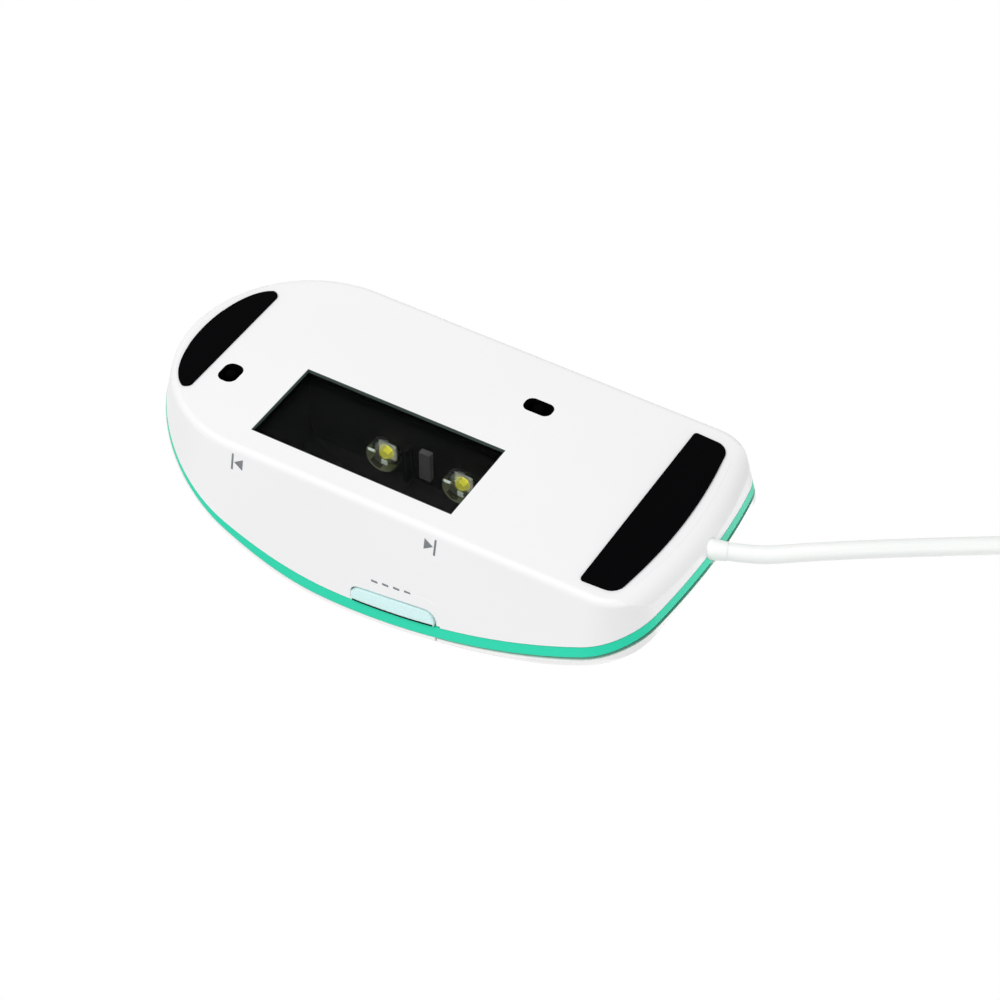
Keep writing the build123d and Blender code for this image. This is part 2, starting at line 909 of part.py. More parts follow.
def palm_cover():
    """The rear cover, with a layer inside for its edge to stand on the ledge."""
    skin = crown_outer - crown_inner - under_arch(seam, 0, 1)
    disc = Pos(0, key_seam_y - key_seam_radius) * Circle(key_seam_radius + key_seam_gap)
    skin -= extrude(disc, 2 * overall_height)
    for x, y in rear_screws:
        pillar = rod(shell_boss_radius, boss_top, overall_height, x, y) & crown_core
        skin += pillar
        skin -= rod(pilot_radius, boss_top - overrun, boss_top + pilot_depth, x, y)
    return one(skin)


def key(side):
    """One key plate: side -1 is the right key and 1 the left one."""
    skin = crown_outer - crown_inner
    skin -= under_arch(key_gap_rear, key_gap_front - key_gap_rear, 1)
    skin &= key_region(side, 0)
    slot = Rot(0, 0, 90) * SlotOverall(wheel_slot_length, wheel_slot_width)
    skin -= extrude(Pos(0, wheel_y - wheel_slot_ahead) * slot, 2 * overall_height)
    skin = one(skin)
    post_low = board_top + switch_height + plunger_height + press_gap
    post = rod(post_radius, post_low, overall_height, side * switch_x, switch_y)
    skin += post & crown_core
    x = side * hinge_x
    half_x = lug_width / 2
    half_y = lug_length / 2
    lug = block((x - half_x, hinge_y - half_y, hinge_z), (x + half_x, hinge_y + half_y, overall_height))
    lug += cross_rod(half_y, x - half_x, x + half_x, hinge_y, hinge_z)
    skin += lug & crown_core
    skin += cross_rod(pin_radius, x - ear_far, x + ear_far, hinge_y, hinge_z)
    return one(skin)


def key_frame():
    """The fixed frame under the keys, that holds their hinges."""
    layer = frame_outer - frame_inner
    layer -= under_arch(-ledge_drop, 0, 1)
    layer -= block((-far, frame_rear_y, -far), (far, far, far))
    slot_x = wheel_slot_width / 2
    slot_y = wheel_slot_length / 2 + frame_gap
    middle_y = wheel_y - wheel_slot_ahead
    slot = block((-slot_x, middle_y - slot_y, 0), (slot_x, middle_y + slot_y, far))
    layer -= slot
    for side in (1, -1):
        x = side * hinge_x
        half_x = lug_width / 2 + ear_clearance
        half_y = lug_length / 2 + hinge_window_clearance
        layer -= block((x - half_x, hinge_y - half_y, 0), (x + half_x, hinge_y + half_y, far))
        layer -= rod(post_radius + post_clearance, 0, far, side * switch_x, switch_y)
        for end in (1, -1):
            ear_x = sorted((x + end * ear_near, x + end * ear_far))
            ear = cross_rod(ear_radius, ear_x[0], ear_x[1], hinge_y, hinge_z)
            neck = block(
                (ear_x[0], hinge_y - ear_radius, hinge_z),
                (ear_x[1], hinge_y + ear_radius, overall_height),
            )
            layer += (ear + neck) & frame_core
        layer -= cross_rod(
            pin_radius + pin_clearance, x - ear_far, x + ear_far, hinge_y, hinge_z
        )
    for x, y in front_screws:
        layer += rod(shell_boss_radius, boss_top, overall_height, x, y) & frame_core
        layer -= rod(pilot_radius, boss_top - overrun, boss_top + pilot_depth, x, y)
    return one(layer)


# Scroll wheel and its carrier

def wheel_tyre():
    """The ribbed tyre round the hub."""
    tyre = cross_rod(wheel_radius, -wheel_width / 2, wheel_width / 2, wheel_y, wheel_z)
    tyre = fillet(tyre.edges(), tyre_thickness / 2)
    tyre -= cross_rod(hub_radius, -far, far, wheel_y, wheel_z)
    reach = wheel_radius + tyre_groove_radius - tyre_groove_depth
    for i in range(tyre_grooves):
        turn = 2 * math.pi * i / tyre_grooves
        y = wheel_y + reach * math.cos(turn)
        z = wheel_z + reach * math.sin(turn)
        half = wheel_width / 2 - tyre_thickness / 2
        tyre -= cross_rod(tyre_groove_radius, -half, half, y, z)
    return one(tyre)


def wheel_hub():
    """The slotted hub with its two axle ends."""
    rim_in = hub_radius - hub_web
    half = wheel_width / 2 - tyre_thickness / 2
    hub = cross_rod(hub_radius, -half, half, wheel_y, wheel_z)
    hub -= cross_rod(rim_in, -far, far, wheel_y, wheel_z)
    hub += cross_rod(rim_in + hub_web / 2, -hub_web / 2, hub_web / 2, wheel_y, wheel_z)
    for i in range(spoke_slots):
        turn = 2 * math.pi * i / spoke_slots
        y = wheel_y + slot_circle * math.cos(turn)
        z = wheel_z + slot_circle * math.sin(turn)
        hub -= cross_rod(slot_hole_radius, -hub_web, hub_web, y, z)
    hub += cross_rod(hub_boss_radius, -half, half, wheel_y, wheel_z)
    return one(hub + cross_rod(axle_radius, -cheek_out, cheek_out, wheel_y, wheel_z))


def wheel_carrier():
    """The sliding carrier whose cheeks hold the axle."""
    cradle = None
    eye = hub_boss_radius
    for side in (1, -1):
        x = sorted((side * cheek_in, side * cheek_out))
        cheek = block((x[0], cheek_front, carrier_low), (x[1], cheek_rear, cheek_top))
        cheek += cross_rod(eye, x[0], x[1], wheel_y, wheel_z)
        neck = block((x[0], wheel_y - eye, cheek_top - eye), (x[1], wheel_y + eye, wheel_z))
        cheek += neck
        arm_rear = wheel_switch_y + wheel_switch_size / 2
        arm = block((x[0], cheek_rear - eye, foot_low), (x[1], arm_rear, foot_low + carrier_wall))
        cheek += arm
        cheek -= cross_rod(counter_width / 2, x[0], x[1], counter_y, beam_z)
        cradle = cheek if cradle is None else cradle + cheek
    bridge_high = wheel_z - wheel_radius - guide_clearance
    bridge_rear = cheek_rear - eye
    cradle += block((-cheek_out, cheek_front, carrier_low), (cheek_out, bridge_rear, bridge_high))
    foot_front = wheel_switch_y - wheel_plunger_radius * plunger_front_share
    cradle += block(
        (-cheek_out, foot_front, foot_low),
        (cheek_out, wheel_switch_y + wheel_switch_size / 2, foot_low + carrier_wall),
    )
    cradle -= cross_rod(axle_radius + axle_clearance, -far, far, wheel_y, wheel_z)
    return one(cradle)


def counter(side):
    """One upright half of the optical wheel counter."""
    x = sorted((side * (cheek_out + counter_gap), side * (cheek_out + counter_gap + counter_width)))
    half = counter_length / 2
    top = board_top + counter_height
    body = block((x[0], counter_y - half, board_top), (x[1], counter_y + half, top))
    near_x = x[0] if side > 0 else x[1]
    lens = Pos(near_x, counter_y, beam_z) * Sphere(counter_length / 4)
    return body + lens


def wheel_switch():
    """The press switch behind the wheel carrier, with its plunger."""
    half = wheel_switch_size / 2
    top = board_top + wheel_switch_height
    body = block((-half, wheel_switch_y - half, board_top), (half, wheel_switch_y + half, top))
    return body + rod(wheel_plunger_radius, top, wheel_switch_top, 0, wheel_switch_y)


def key_switch(side):
    """One key's switch: side -1 is the right one and 1 the left one."""
    x = side * switch_x
    half_x = switch_length / 2
    half_y = switch_width / 2
    top = board_top + switch_height
    low = (x - half_x, switch_y - half_y, board_top)
    body = block(low, (x + half_x, switch_y + half_y, top))
    body = chamfer(body.edges().group_by(Axis.Z)[-1], plunger_height / 2)
    half_p = plunger_length / 2
    half_w = plunger_width / 2
    plunger = block(
        (x - half_p, switch_y - half_w, top - plunger_height),
        (x + half_p, switch_y + half_w, top + plunger_height),
    )
    return body + plunger


# Boards and what is on them

def main_board():
    """The main circuit board, cut round the openings, slots, bosses and guides."""
    plan = outline(-wall - board_cut_clearance)
    keep_mid = (board_front_edge + board_rear_y) / 2
    keep = Pos(0, keep_mid) * Rectangle(2 * board_half_width, board_rear_y - board_front_edge)
    plan = plan & keep
    board = Pos(0, 0, board_bottom) * extrude(plan, board_thickness)
    cut_x = lamp_board_x - board_cut_clearance
    cut_low = box_front_y - board_cut_clearance
    cut_high = window_y + box_half_length + box_wall + board_cut_clearance
    board -= block((cut_x, cut_low, 0), (far, cut_high, far))
    for x, y in board_posts:
        board -= rod(board_screw_radius + screw_hole_clearance, 0, far, x, y)
    half = guide_thickness / 2 + guide_clearance
    for x, y in guide_places():
        board -= block((x - half, y - half, 0), (x + half, y + half, far))
    for x, y in ((front_slot_x, front_slot_y), (rear_slot_x, rear_slot_y)):
        board -= rod(lens_dome_radius, 0, far, x, y)
    return one(board)


def tracker(x, y):
    """One motion sensor over its slot."""
    half_x = tracker_width / 2
    half_y = tracker_length / 2
    high = board_top + tracker_height
    chip = block((x - half_x, y - half_y, board_top), (x + half_x, y + half_y, high))
    return chamfer(chip.edges().group_by(Axis.Z)[-1], tracker_height / 6)


def tracker_lens(x, y):
    """The clear lens under a motion sensor, that reaches down into its slot."""
    half_x = tracker_width / 2 + lens_plate_thickness / 2
    half_y = tracker_length / 2
    low = board_bottom - lens_plate_thickness
    plate = block((x - half_x, y - half_y, low), (x + half_x, y + half_y, board_bottom))
    tip = base + floor / 2
    barrel = rod(lens_dome_radius, tip, low, x, y)
    dome = Pos(x, y, tip) * Sphere(lens_dome_radius) & rod(lens_dome_radius, base, tip, x, y)
    return plate + barrel + dome


def tracker_lamps():
    """The two small lamps that light the motion sensors' slots."""
    lamps = []
    for x, y, way in ((front_slot_x, front_slot_y, 1), (rear_slot_x, rear_slot_y, -1)):
        near = x + way * (tracker_width / 2 + lens_plate_thickness / 2)
        ends = sorted((near, near + way * lens_dome_radius * 3))
        lamps.append(cross_rod(lens_dome_radius, ends[0], ends[1], y, board_top + lens_dome_radius))
    return Compound(lamps)


def chip(x, y, width, length, height):
    """A flat packaged chip on the main board."""
    low = (x - width / 2, y - length / 2, board_top)
    body = block(low, (x + width / 2, y + length / 2, board_top + height))
    return chamfer(body.edges().group_by(Axis.Z)[-1], height / 5)


# Window, dark box and lamps

lamp_z = base + lamp_height
lamp_places = [lamp_mid_y + lamp_spacing / 2, lamp_mid_y - lamp_spacing / 2]
peg_places = [lamp_mid_y + s * (lamp_board_length / 2 - lamp_peg_inset) for s in (1, -1)]
box_inner_x = window_x - box_half_width


def window_glass():
    """The clear pane behind the scan window."""
    plate = Rectangle(window_width + 2 * pane_margin, window_length + 2 * pane_margin)
    return Pos(window_x, window_y, floor_top - pane_thickness) * extrude(plate, pane_thickness)


def light_box():
    """The black box over the window, that holds the camera and the lamp board."""
    box = box_solid(box_wall, floor_top, box_top_z)
    low_x = box_right_x - box_flange_width
    high_x = window_x + box_half_width + box_wall + box_flange_left
    high_y = window_y + box_half_length + box_wall + box_flange_width
    top = floor_top + box_flange_thickness
    box += block((low_x, box_front_y - box_flange_width, floor_top), (high_x, high_y, top))
    box -= box_solid(0, -overrun, box_top_z - box_top_plate)
    half = lamp_width / 2 + lamp_slot_clearance
    for y in lamp_places:
        box -= block(
            (box_right_x - overrun, y - half, lamp_z - half),
            (box_inner_x + lamp_rib_reach / 2, y + half, lamp_z + half),
        )
    for y in peg_places:
        end = lamp_board_x - lamp_peg_radius
        box += cross_rod(lamp_peg_radius, end, box_right_x + box_wall / 2, y, lamp_z)
    half = lamp_rib_thickness / 2
    box += block(
        (box_inner_x - box_wall / 2, lamp_rib_y - half, lamp_z - lamp_rib_height / 2),
        (box_inner_x + lamp_rib_reach, lamp_rib_y + half, lamp_z + lamp_rib_height / 2),
    )
    half = lamp_bar_width / 2
    box += block(
        (box_inner_x - box_wall / 2, lamp_bar_y - half, lamp_z - lamp_bar_height / 2),
        (box_inner_x + lamp_bar_reach, lamp_bar_y + half, lamp_z + lamp_bar_height / 2),
    )
    box -= rod(camera_barrel_radius + camera_hole_clearance, lamp_z, far, window_x, window_y)
    for side in (1, -1):
        y = window_y + side * camera_post_y
        top = box_top_z + camera_holder_height
        box += rod(camera_post_radius, box_top_z, top, window_x, y)
        box -= rod(camera_screw_radius, top - camera_screw_length, far, window_x, y)
    return one(box)


def lamp_board():
    """The upright circuit board of the scan lamps."""
    half = lamp_board_length / 2
    low = lamp_z - lamp_board_height / 2
    high = low + lamp_board_height
    board = block((lamp_board_x, lamp_mid_y - half, low), (box_right_x, lamp_mid_y + half, high))
    for y in peg_places:
        board -= cross_rod(lamp_peg_radius + lamp_peg_clearance, -far, far, y, lamp_z)
    return board


def lamps():
    """The two square lamp packages on their board."""
    half = lamp_width / 2
    high_x = box_right_x + lamp_depth
    pieces = []
    for y in lamp_places:
        pieces.append(block((box_right_x, y - half, lamp_z - half), (high_x, y + half, lamp_z + half)))
    return Compound(pieces)


def lamp_domes():
    """The yellow phosphor on each lamp package."""
    x = box_right_x + lamp_depth
    pieces = []
    for y in lamp_places:
        ball = Pos(x, y, lamp_z) * Sphere(lamp_dome_radius)
        pieces.append(ball & block((x, -far, -far), (far, far, far)))
    return Compound([one(p) for p in pieces])


def lamp_lenses():
    """A clear cap over each lamp, seated on the inside of the box wall."""
    pieces = []
    for y in lamp_places:
        cap = cross_rod(lamp_cap_radius, box_inner_x, box_inner_x + lamp_cap_height, y, lamp_z)
        cap = fillet(cap.edges().group_by(Axis.X)[-1], lamp_cap_round)
        cap -= cross_rod(lamp_seat_radius, -far, box_inner_x + lamp_seat_depth, y, lamp_z)
        hollow_end = box_right_x + lamp_depth + lamp_cap_hollow
        cap -= cross_rod(lamp_cap_hollow, -far, hollow_end, y, lamp_z)
        pieces.append(one(cap))
    return Compound(pieces)


# Camera

holder_top = box_top_z + camera_holder_height
barrel_low = box_top_z - camera_barrel_drop
camera_board_top = holder_top + camera_board_thickness


def camera_barrel():
    """The threaded barrel, shown as a plain tube, that holds the camera's lens."""
    top = barrel_low + camera_barrel_height
    barrel = rod(camera_barrel_radius, barrel_low, top, window_x, window_y)
    barrel = chamfer(barrel.edges().group_by(Axis.Z)[0], camera_barrel_wall / 3)
    bore = camera_barrel_radius - camera_barrel_wall
    barrel -= rod(bore, 0, barrel_low + camera_stop_depth, window_x, window_y)
    return barrel - rod(bore - camera_barrel_wall, 0, far, window_x, window_y)


def camera_lens():
    """The camera's lens: a disc with a dome."""
    high = barrel_low + camera_stop_depth
    low = high - camera_lens_thickness
    disc = rod(camera_lens_radius, low, high, window_x, window_y)
    ball = (camera_lens_radius**2 + camera_lens_dome**2) / (2 * camera_lens_dome)
    dome = Pos(window_x, window_y, low - camera_lens_dome + ball) * Sphere(ball)
    rim = rod(camera_lens_radius, low - camera_lens_dome, low, window_x, window_y)
    return disc + one(dome & rim)


def camera_holder():
    """The square holder of the camera's barrel, round its chip."""
    half = camera_holder_size / 2
    low = (window_x - half, window_y - half, box_top_z)
    holder = block(low, (window_x + half, window_y + half, holder_top))
    bore = camera_barrel_radius + camera_bore_clearance
    holder -= rod(bore, 0, far, window_x, window_y)
    half = camera_cavity_size / 2
    low = (window_x - half, window_y - half, box_top_z + camera_bore_height)
    holder -= block(low, (window_x + half, window_y + half, far))
    return one(holder)


def camera_chip():
    """The camera's image chip, under its board."""
    half = camera_chip_size / 2
    low = (window_x - half, window_y - half, holder_top - camera_chip_height)
    return block(low, (window_x + half, window_y + half, holder_top))


def camera_board():
    """The camera's circuit board, on the light box."""
    half_x = camera_board_width / 2
    half_y = camera_board_length / 2
    low = (window_x - half_x, window_y - half_y, holder_top)
    board = block(low, (window_x + half_x, window_y + half_y, camera_board_top))
    for side in (1, -1):
        hole = camera_screw_radius + camera_bore_clearance
        board -= rod(hole, 0, far, window_x, window_y + side * camera_post_y)
    return board


def camera_screws():
    """The screws that hold the camera board to the light box."""
    screws = []
    for side in (1, -1):
        y = window_y + side * camera_post_y
        low = camera_board_top - camera_screw_length
        head_top = camera_board_top + camera_screw_head_height
        shaft = rod(camera_screw_radius, low, camera_board_top, window_x, y)
        head = rod(camera_screw_head_radius, camera_board_top, head_top, window_x, y)
        screws.append(shaft + head)
    return Compound(screws)


def camera_ribbon():
    """The flat lead from the camera board down to the main board."""
    edge = window_x - camera_board_width / 2
    z = camera_board_top + ribbon_thickness / 2
    foot_z = board_top + ribbon_socket_height
    points = [
        (edge + ribbon_on_board, window_y, z),
        (edge - ribbon_over_edge, window_y, z),
        (ribbon_socket_x, window_y, z - ribbon_fall),
        (ribbon_socket_x, window_y, foot_z),
    ]
    path = FilletPolyline(*points, radius=ribbon_bend)
    start = Plane(origin=path @ 0, x_dir=(0, 1, 0), z_dir=path % 0)
    return sweep(start * Rectangle(ribbon_width, ribbon_thickness), path=path)


def ribbon_socket():
    """The socket on the main board for the camera's ribbon."""
    return chip(
        ribbon_socket_x, window_y, ribbon_socket_width, ribbon_socket_length, ribbon_socket_height
    )


# Scan button and its board

def scan_button():
    """The side key that starts a scan, with its flange and stem."""
    thick = wall_block(-scan_proud) - wall_block(wall + scan_flange_gap + scan_flange_thickness)
    button = one(scan_shape(0) & thick)
    hollow = scan_shape(-scan_cup_wall) & wall_block(scan_plate)
    button -= hollow
    ring = wall_block(wall + scan_flange_gap)
    ring -= wall_block(wall + scan_flange_gap + scan_flange_thickness)
    flange = one(scan_shape(scan_flange) & ring & under_arch(-scan_clearance))
    flange -= scan_shape(-scan_cup_wall)
    button += flange
    stem_low = plunger_face + scan_travel + scan_stem_gap
    stem = cross_rod(scan_stem_radius, stem_low, overall_width / 2, scan_y, scan_switch_z)
    button += stem & wall_block(scan_plate / 2)
    return one(button)


def scan_board():
    """The upright circuit board behind the scan key."""
    half = scan_board_length / 2
    top = scan_mid_z - scan_clearance
    return block((scan_board_x, scan_y - half, floor_top), (scan_board_face, scan_y + half, top))


def scan_switch():
    """The scan key's small switch, with its plunger."""
    half_y = scan_switch_length / 2
    half_z = scan_switch_height / 2
    body = block(
        (scan_board_face, scan_y - half_y, scan_switch_z - half_z),
        (scan_board_face + scan_switch_depth, scan_y + half_y, scan_switch_z + half_z),
    )
    plunger = cross_rod(scan_plunger_radius, scan_board_face, plunger_face, scan_y, scan_switch_z)
    return body + plunger


def scan_light():
    """The small lamp behind the scan key."""
    y = scan_y + scan_light_offset
    half = scan_light_length / 2
    z = scan_switch_z - scan_switch_height / 2 + half
    low = (scan_board_face, y - half, z - half)
    return block(low, (scan_board_face + scan_light_depth, y + half, z + half))


# Screws

def shell_screws():
    """The four long screws that close the housing."""
    screws = []
    head_top = base + foot_depth + shell_screw_head_height + screw_hole_clearance
    for x, y in front_screws + rear_screws:
        head = rod(shell_screw_head_radius, head_top - shell_screw_head_height, head_top, x, y)
        shaft = rod(shell_screw_radius, head_top, boss_top + shell_screw_reach, x, y)
        screws.append(head + shaft)
    return Compound(screws)


def board_screws():
    """The screws that hold the main board to its posts."""
    screws = []
    for x, y in board_posts:
        head = rod(board_screw_head_radius, board_top, board_top + board_screw_head_height, x, y)
        shaft = rod(board_screw_radius, floor_top + board_screw_radius, board_top, x, y)
        screws.append(head + shaft)
    return Compound(screws)


# Gland and the lead inside the mouse

def cable_gland():
    """The flexible sleeve that holds the cord in the front wall."""
    waist_radius = gland_hole_radius - gland_waist_clearance
    waist = long_rod(waist_radius, bend_y, front_wall_y + gland_inner_length / 2, 0, exit_z)
    flange_y = front_wall_y + wall + gland_flange_thickness
    flange = long_rod(gland_flange_radius, front_wall_y - floor, flange_y, 0, exit_z)
    flange &= wall_block(wall + gland_waist_clearance)
    inner = long_rod(gland_inner_radius, front_wall_y, front_wall_y + gland_inner_length, 0, exit_z)
    bend = Pos(0, bend_y, exit_z) * Sphere(waist_radius)
    nose = Solid.make_cone(
        waist_radius,
        gland_tip_radius,
        gland_nose_length,
        Plane(origin=(0, bend_y, exit_z), z_dir=exit_way),
    )
    return one(waist + flange + inner + bend + nose)


def inner_lead():
    """The end of the cord from the sleeve to its socket."""
    start = front_wall_y + gland_inner_length
    return long_rod(inner_lead_radius, start, board_front_edge + board_cut_clearance, 0, exit_z)


def cable_socket():
    """The cord's socket on the main board."""
    low_y = board_front_edge + board_cut_clearance
    half = socket_width / 2
    low = (-half, low_y, board_bottom - socket_height)
    return block(low, (half, low_y + socket_length, board_bottom))


# Lead outside the mouse

def bend_radii(points):
    """As large a bend at each inner point as its two runs leave room for."""
    radii = []
    for before, here, after in zip(points, points[1:], points[2:]):
        first = Vector(*here) - Vector(*before)
        second = Vector(*after) - Vector(*here)
        half = math.radians(first.get_angle(second)) / 2
        shorter = min(first.length, second.length)
        radii.append(bend_share * shorter / math.tan(half))
    return radii


def tube(name, points):
    """A round tube of the lead along straight runs and tangent bends."""
    radii = bend_radii(points)
    path = FilletPolyline(*points, radius=radii)
    start = Plane(origin=path @ 0, z_dir=path % 0)
    solid = one(sweep(start * Circle(cord_diameter / 2), path=path))
    section = math.pi * cord_diameter**2 / 4
    print(name, "bend radii", [round(r, 1) for r in radii], "length", round(path.length, 1))
    print(name, "volume", round(solid.volume, 1), "section times length", round(section * path.length, 1))
    return solid, path.length


coil_start_angle = math.radians(coil_turned)
coil_out = Vector(math.cos(coil_start_angle), math.sin(coil_start_angle), 0)
coil_way = Vector(-math.sin(coil_start_angle), math.cos(coil_start_angle), 0)
coil_low_z = cord_diameter / 2 + tie_thickness + tie_clearance + tie_gap_below
coil_middle = Vector(coil_x, coil_y, 0)


def coil_joints():
    """The ends of the half turns: in and out again, with a climb where the spiral reverses."""
    radius = coil_outer_radius
    z = coil_low_z
    joints = [(radius, z)]
    for layer in range(coil_layers):
        step = coil_pitch / 2 * (-1 if layer % 2 == 0 else 1)
        last = layer == coil_layers - 1
        for _ in range(coil_last_turns if last else coil_flat_turns):
            radius += step
            joints.append((radius, z))
        if not last:
            z += coil_pitch
            joints.append((radius, z))
    places = []
    for i, (r, height) in enumerate(joints):
        side = 1 if i % 2 == 0 else -1
        places.append(coil_middle + coil_out * (side * r) + Vector(0, 0, height))
    return places


coil_places = coil_joints()
coil_entry = coil_places[0] - coil_way * cord_diameter
coil_leave_way = coil_way * (1 if len(coil_places) % 2 == 1 else -1)
coil_exit = coil_places[-1] + coil_leave_way * cord_diameter


def coil_edges():
    """Straight ends and a pair of quarter bends for each half turn."""
    edges = [Line(coil_entry, coil_places[0])]
    for i, (start, end) in enumerate(zip(coil_places, coil_places[1:])):
        way = coil_way * (1 if i % 2 == 0 else -1)
        across = end - start
        middle = (start + end) * 0.5 + way * (across.length / 2)
        first = TangentArc(start, middle, tangent=way)
        second = TangentArc(middle, end, tangent=first % 1)
        edges += [first, second]
    edges.append(Line(coil_places[-1], coil_exit))
    return [e.edge() for e in edges]


def coil_self_gap(edges):
    """The least clear space between two turns, measured on points along the middle line."""
    points = []
    along = []
    run = 0.0
    for edge in edges:
        for i in range(self_gap_steps):
            point = edge @ (i / self_gap_steps)
            points.append((point.X, point.Y, point.Z))
            along.append(run + edge.length * i / self_gap_steps)
        run += edge.length
    least = far
    apart = self_gap_share * cord_diameter
    for i, a in enumerate(points):
        for j in range(i + 1, len(points)):
            if along[j] - along[i] > apart:
                least = min(least, math.dist(a, points[j]))
    return least - cord_diameter, run


def cord_coil():
    """The wound middle of the cord."""
    edges = coil_edges()
    gap, length = coil_self_gap(edges)
    path = Wire(edges)
    start = Plane(origin=coil_entry, z_dir=coil_way)
    section = start * RegularPolygon(cord_diameter / 2, cord_sides)
    solid = one(sweep(section, path=path))
    print("coil length", round(length, 1), "least gap to itself", round(gap, 2))
    print("coil volume", round(solid.volume, 1), "section times length", round(section.area * length, 1))
    return solid, length


def coil_tie():
    """A strap round all the turns, on the side where none climbs."""
    inner = coil_outer_radius - coil_flat_turns * coil_pitch / 2
    near = inner + coil_pitch / 4 - cord_diameter / 2
    far_side = coil_outer_radius - coil_pitch / 4 + cord_diameter / 2
    sag = near - math.sqrt(near**2 - (tie_width / 2) ** 2)
    near -= sag + tie_clearance
    far_side += tie_clearance
    low = coil_low_z - cord_diameter / 2 - tie_clearance
    high = coil_low_z + (coil_layers - 1) * coil_pitch + cord_diameter / 2 + tie_clearance
    width = far_side - near
    height = high - low
    hole = RectangleRounded(width, height, tie_corner - tie_thickness)
    band = RectangleRounded(width + 2 * tie_thickness, height + 2 * tie_thickness, tie_corner)
    middle = coil_middle + coil_way * ((near + far_side) / 2) + Vector(0, 0, (low + high) / 2)
    place = Plane(origin=middle, x_dir=coil_way, z_dir=coil_out)
    return extrude(place * (band - hole), tie_width / 2, both=True)


# Plug, along its own X from the tip of its relief, lying on the floor

plug_place = Pos(plug_x, plug_y, plug_height / 2) * Rot(0, 0, plug_turned)
plug_angle = math.radians(plug_turned)
plug_way = Vector(math.cos(plug_angle), math.sin(plug_angle), 0)
body_x = plug_relief_length
mouth_x = body_x + plug_length + shell_length
shell_x = body_x + plug_length


def along_x(face, low_x, high_x):
    """A face drawn in Y and Z, made solid along X."""
    return Pos(low_x, 0, 0) * extrude(Plane.YZ * face, high_x - low_x)


def plug_body():
    """The plug's moulded grip with its relief."""
    body = along_x(RectangleRounded(plug_width, plug_height, plug_corner), body_x, shell_x)
    body = fillet(body.edges().group_by(Axis.X)[0], plug_edge)
    for i in range(plug_grip_ribs):
        x = body_x + plug_grip_start + i * plug_rib_pitch
        for side in (1, -1):
            low_y = side * (plug_width / 2 - plug_rib_depth)
            y = sorted((low_y, low_y + side * plug_width))
            body -= block((x, y[0], -plug_height), (x + plug_rib_width, y[1], plug_height))
    start = Plane(origin=(0, 0, 0), z_dir=(1, 0, 0))
    reach = plug_relief_length + plug_edge
    relief = Solid.make_cone(plug_relief_tip, plug_relief_radius, reach, start)
    return plug_place * one(body + relief)


def plug_shell():
    """The plug's metal mouth."""
    outside = RectangleRounded(shell_width, shell_height, shell_corner)
    inside = RectangleRounded(
        shell_width - 2 * shell_sheet, shell_height - 2 * shell_sheet, shell_corner - shell_sheet
    )
    sleeve = along_x(outside - inside, shell_x, mouth_x)
    half = latch_window / 2
    x = mouth_x - latch_from_mouth
    for side in (1, -1):
        y = side * latch_offset
        sleeve -= block((x - half, y - half, -plug_height), (x + half, y + half, plug_height))
    return plug_place * one(sleeve)


def plug_tongue():
    """The insulating tongue in the plug's mouth."""
    half = shell_width / 2 - shell_sheet - tongue_clearance
    top = shell_height / 2 - shell_sheet
    tongue = block((shell_x, -half, top - tongue_thickness), (shell_x + tongue_length, half, top))
    return plug_place * tongue


def plug_contacts():
    """The four contacts on the tongue."""
    contacts = []
    top = shell_height / 2 - shell_sheet - tongue_thickness
    for i in range(contact_count):
        y = (i - (contact_count - 1) / 2) * contact_pitch
        half = contact_width / 2
        low = (shell_x, y - half, top - contact_thickness)
        strip = block(low, (shell_x + contact_length, y + half, top))
        contacts.append(plug_place * strip)
    return Compound(contacts)


# Feet

def front_foot():
    """The front glide pad."""
    return foot(front_foot_shape(0))


def rear_foot():
    """The rear glide pad."""
    return foot(rear_foot_shape(0))


# All pieces

lead_entry = coil_entry - coil_way * lead_last_run
lead_points = [nose_tip, nose_tip + exit_way * lead_first_run]
lead_points += [Vector(*p) for p in lead_route] + [lead_entry, coil_entry]
tail_points = [coil_exit, coil_exit + coil_leave_way * tail_first_run]
plug_tip = Vector(plug_x, plug_y, plug_height / 2)
tail_points += [Vector(*p) for p in tail_route] + [plug_tip - plug_way * tail_last_run, plug_tip]
cord_solid, lead_length = tube("lead", lead_points)
coil_solid, coil_length = cord_coil()
tail_solid, tail_length = tube("tail", tail_points)
whole_length = gland_nose_length + lead_length + coil_length + tail_length + mouth_x
print("lead from the mouse to the end of the plug", round(whole_length))

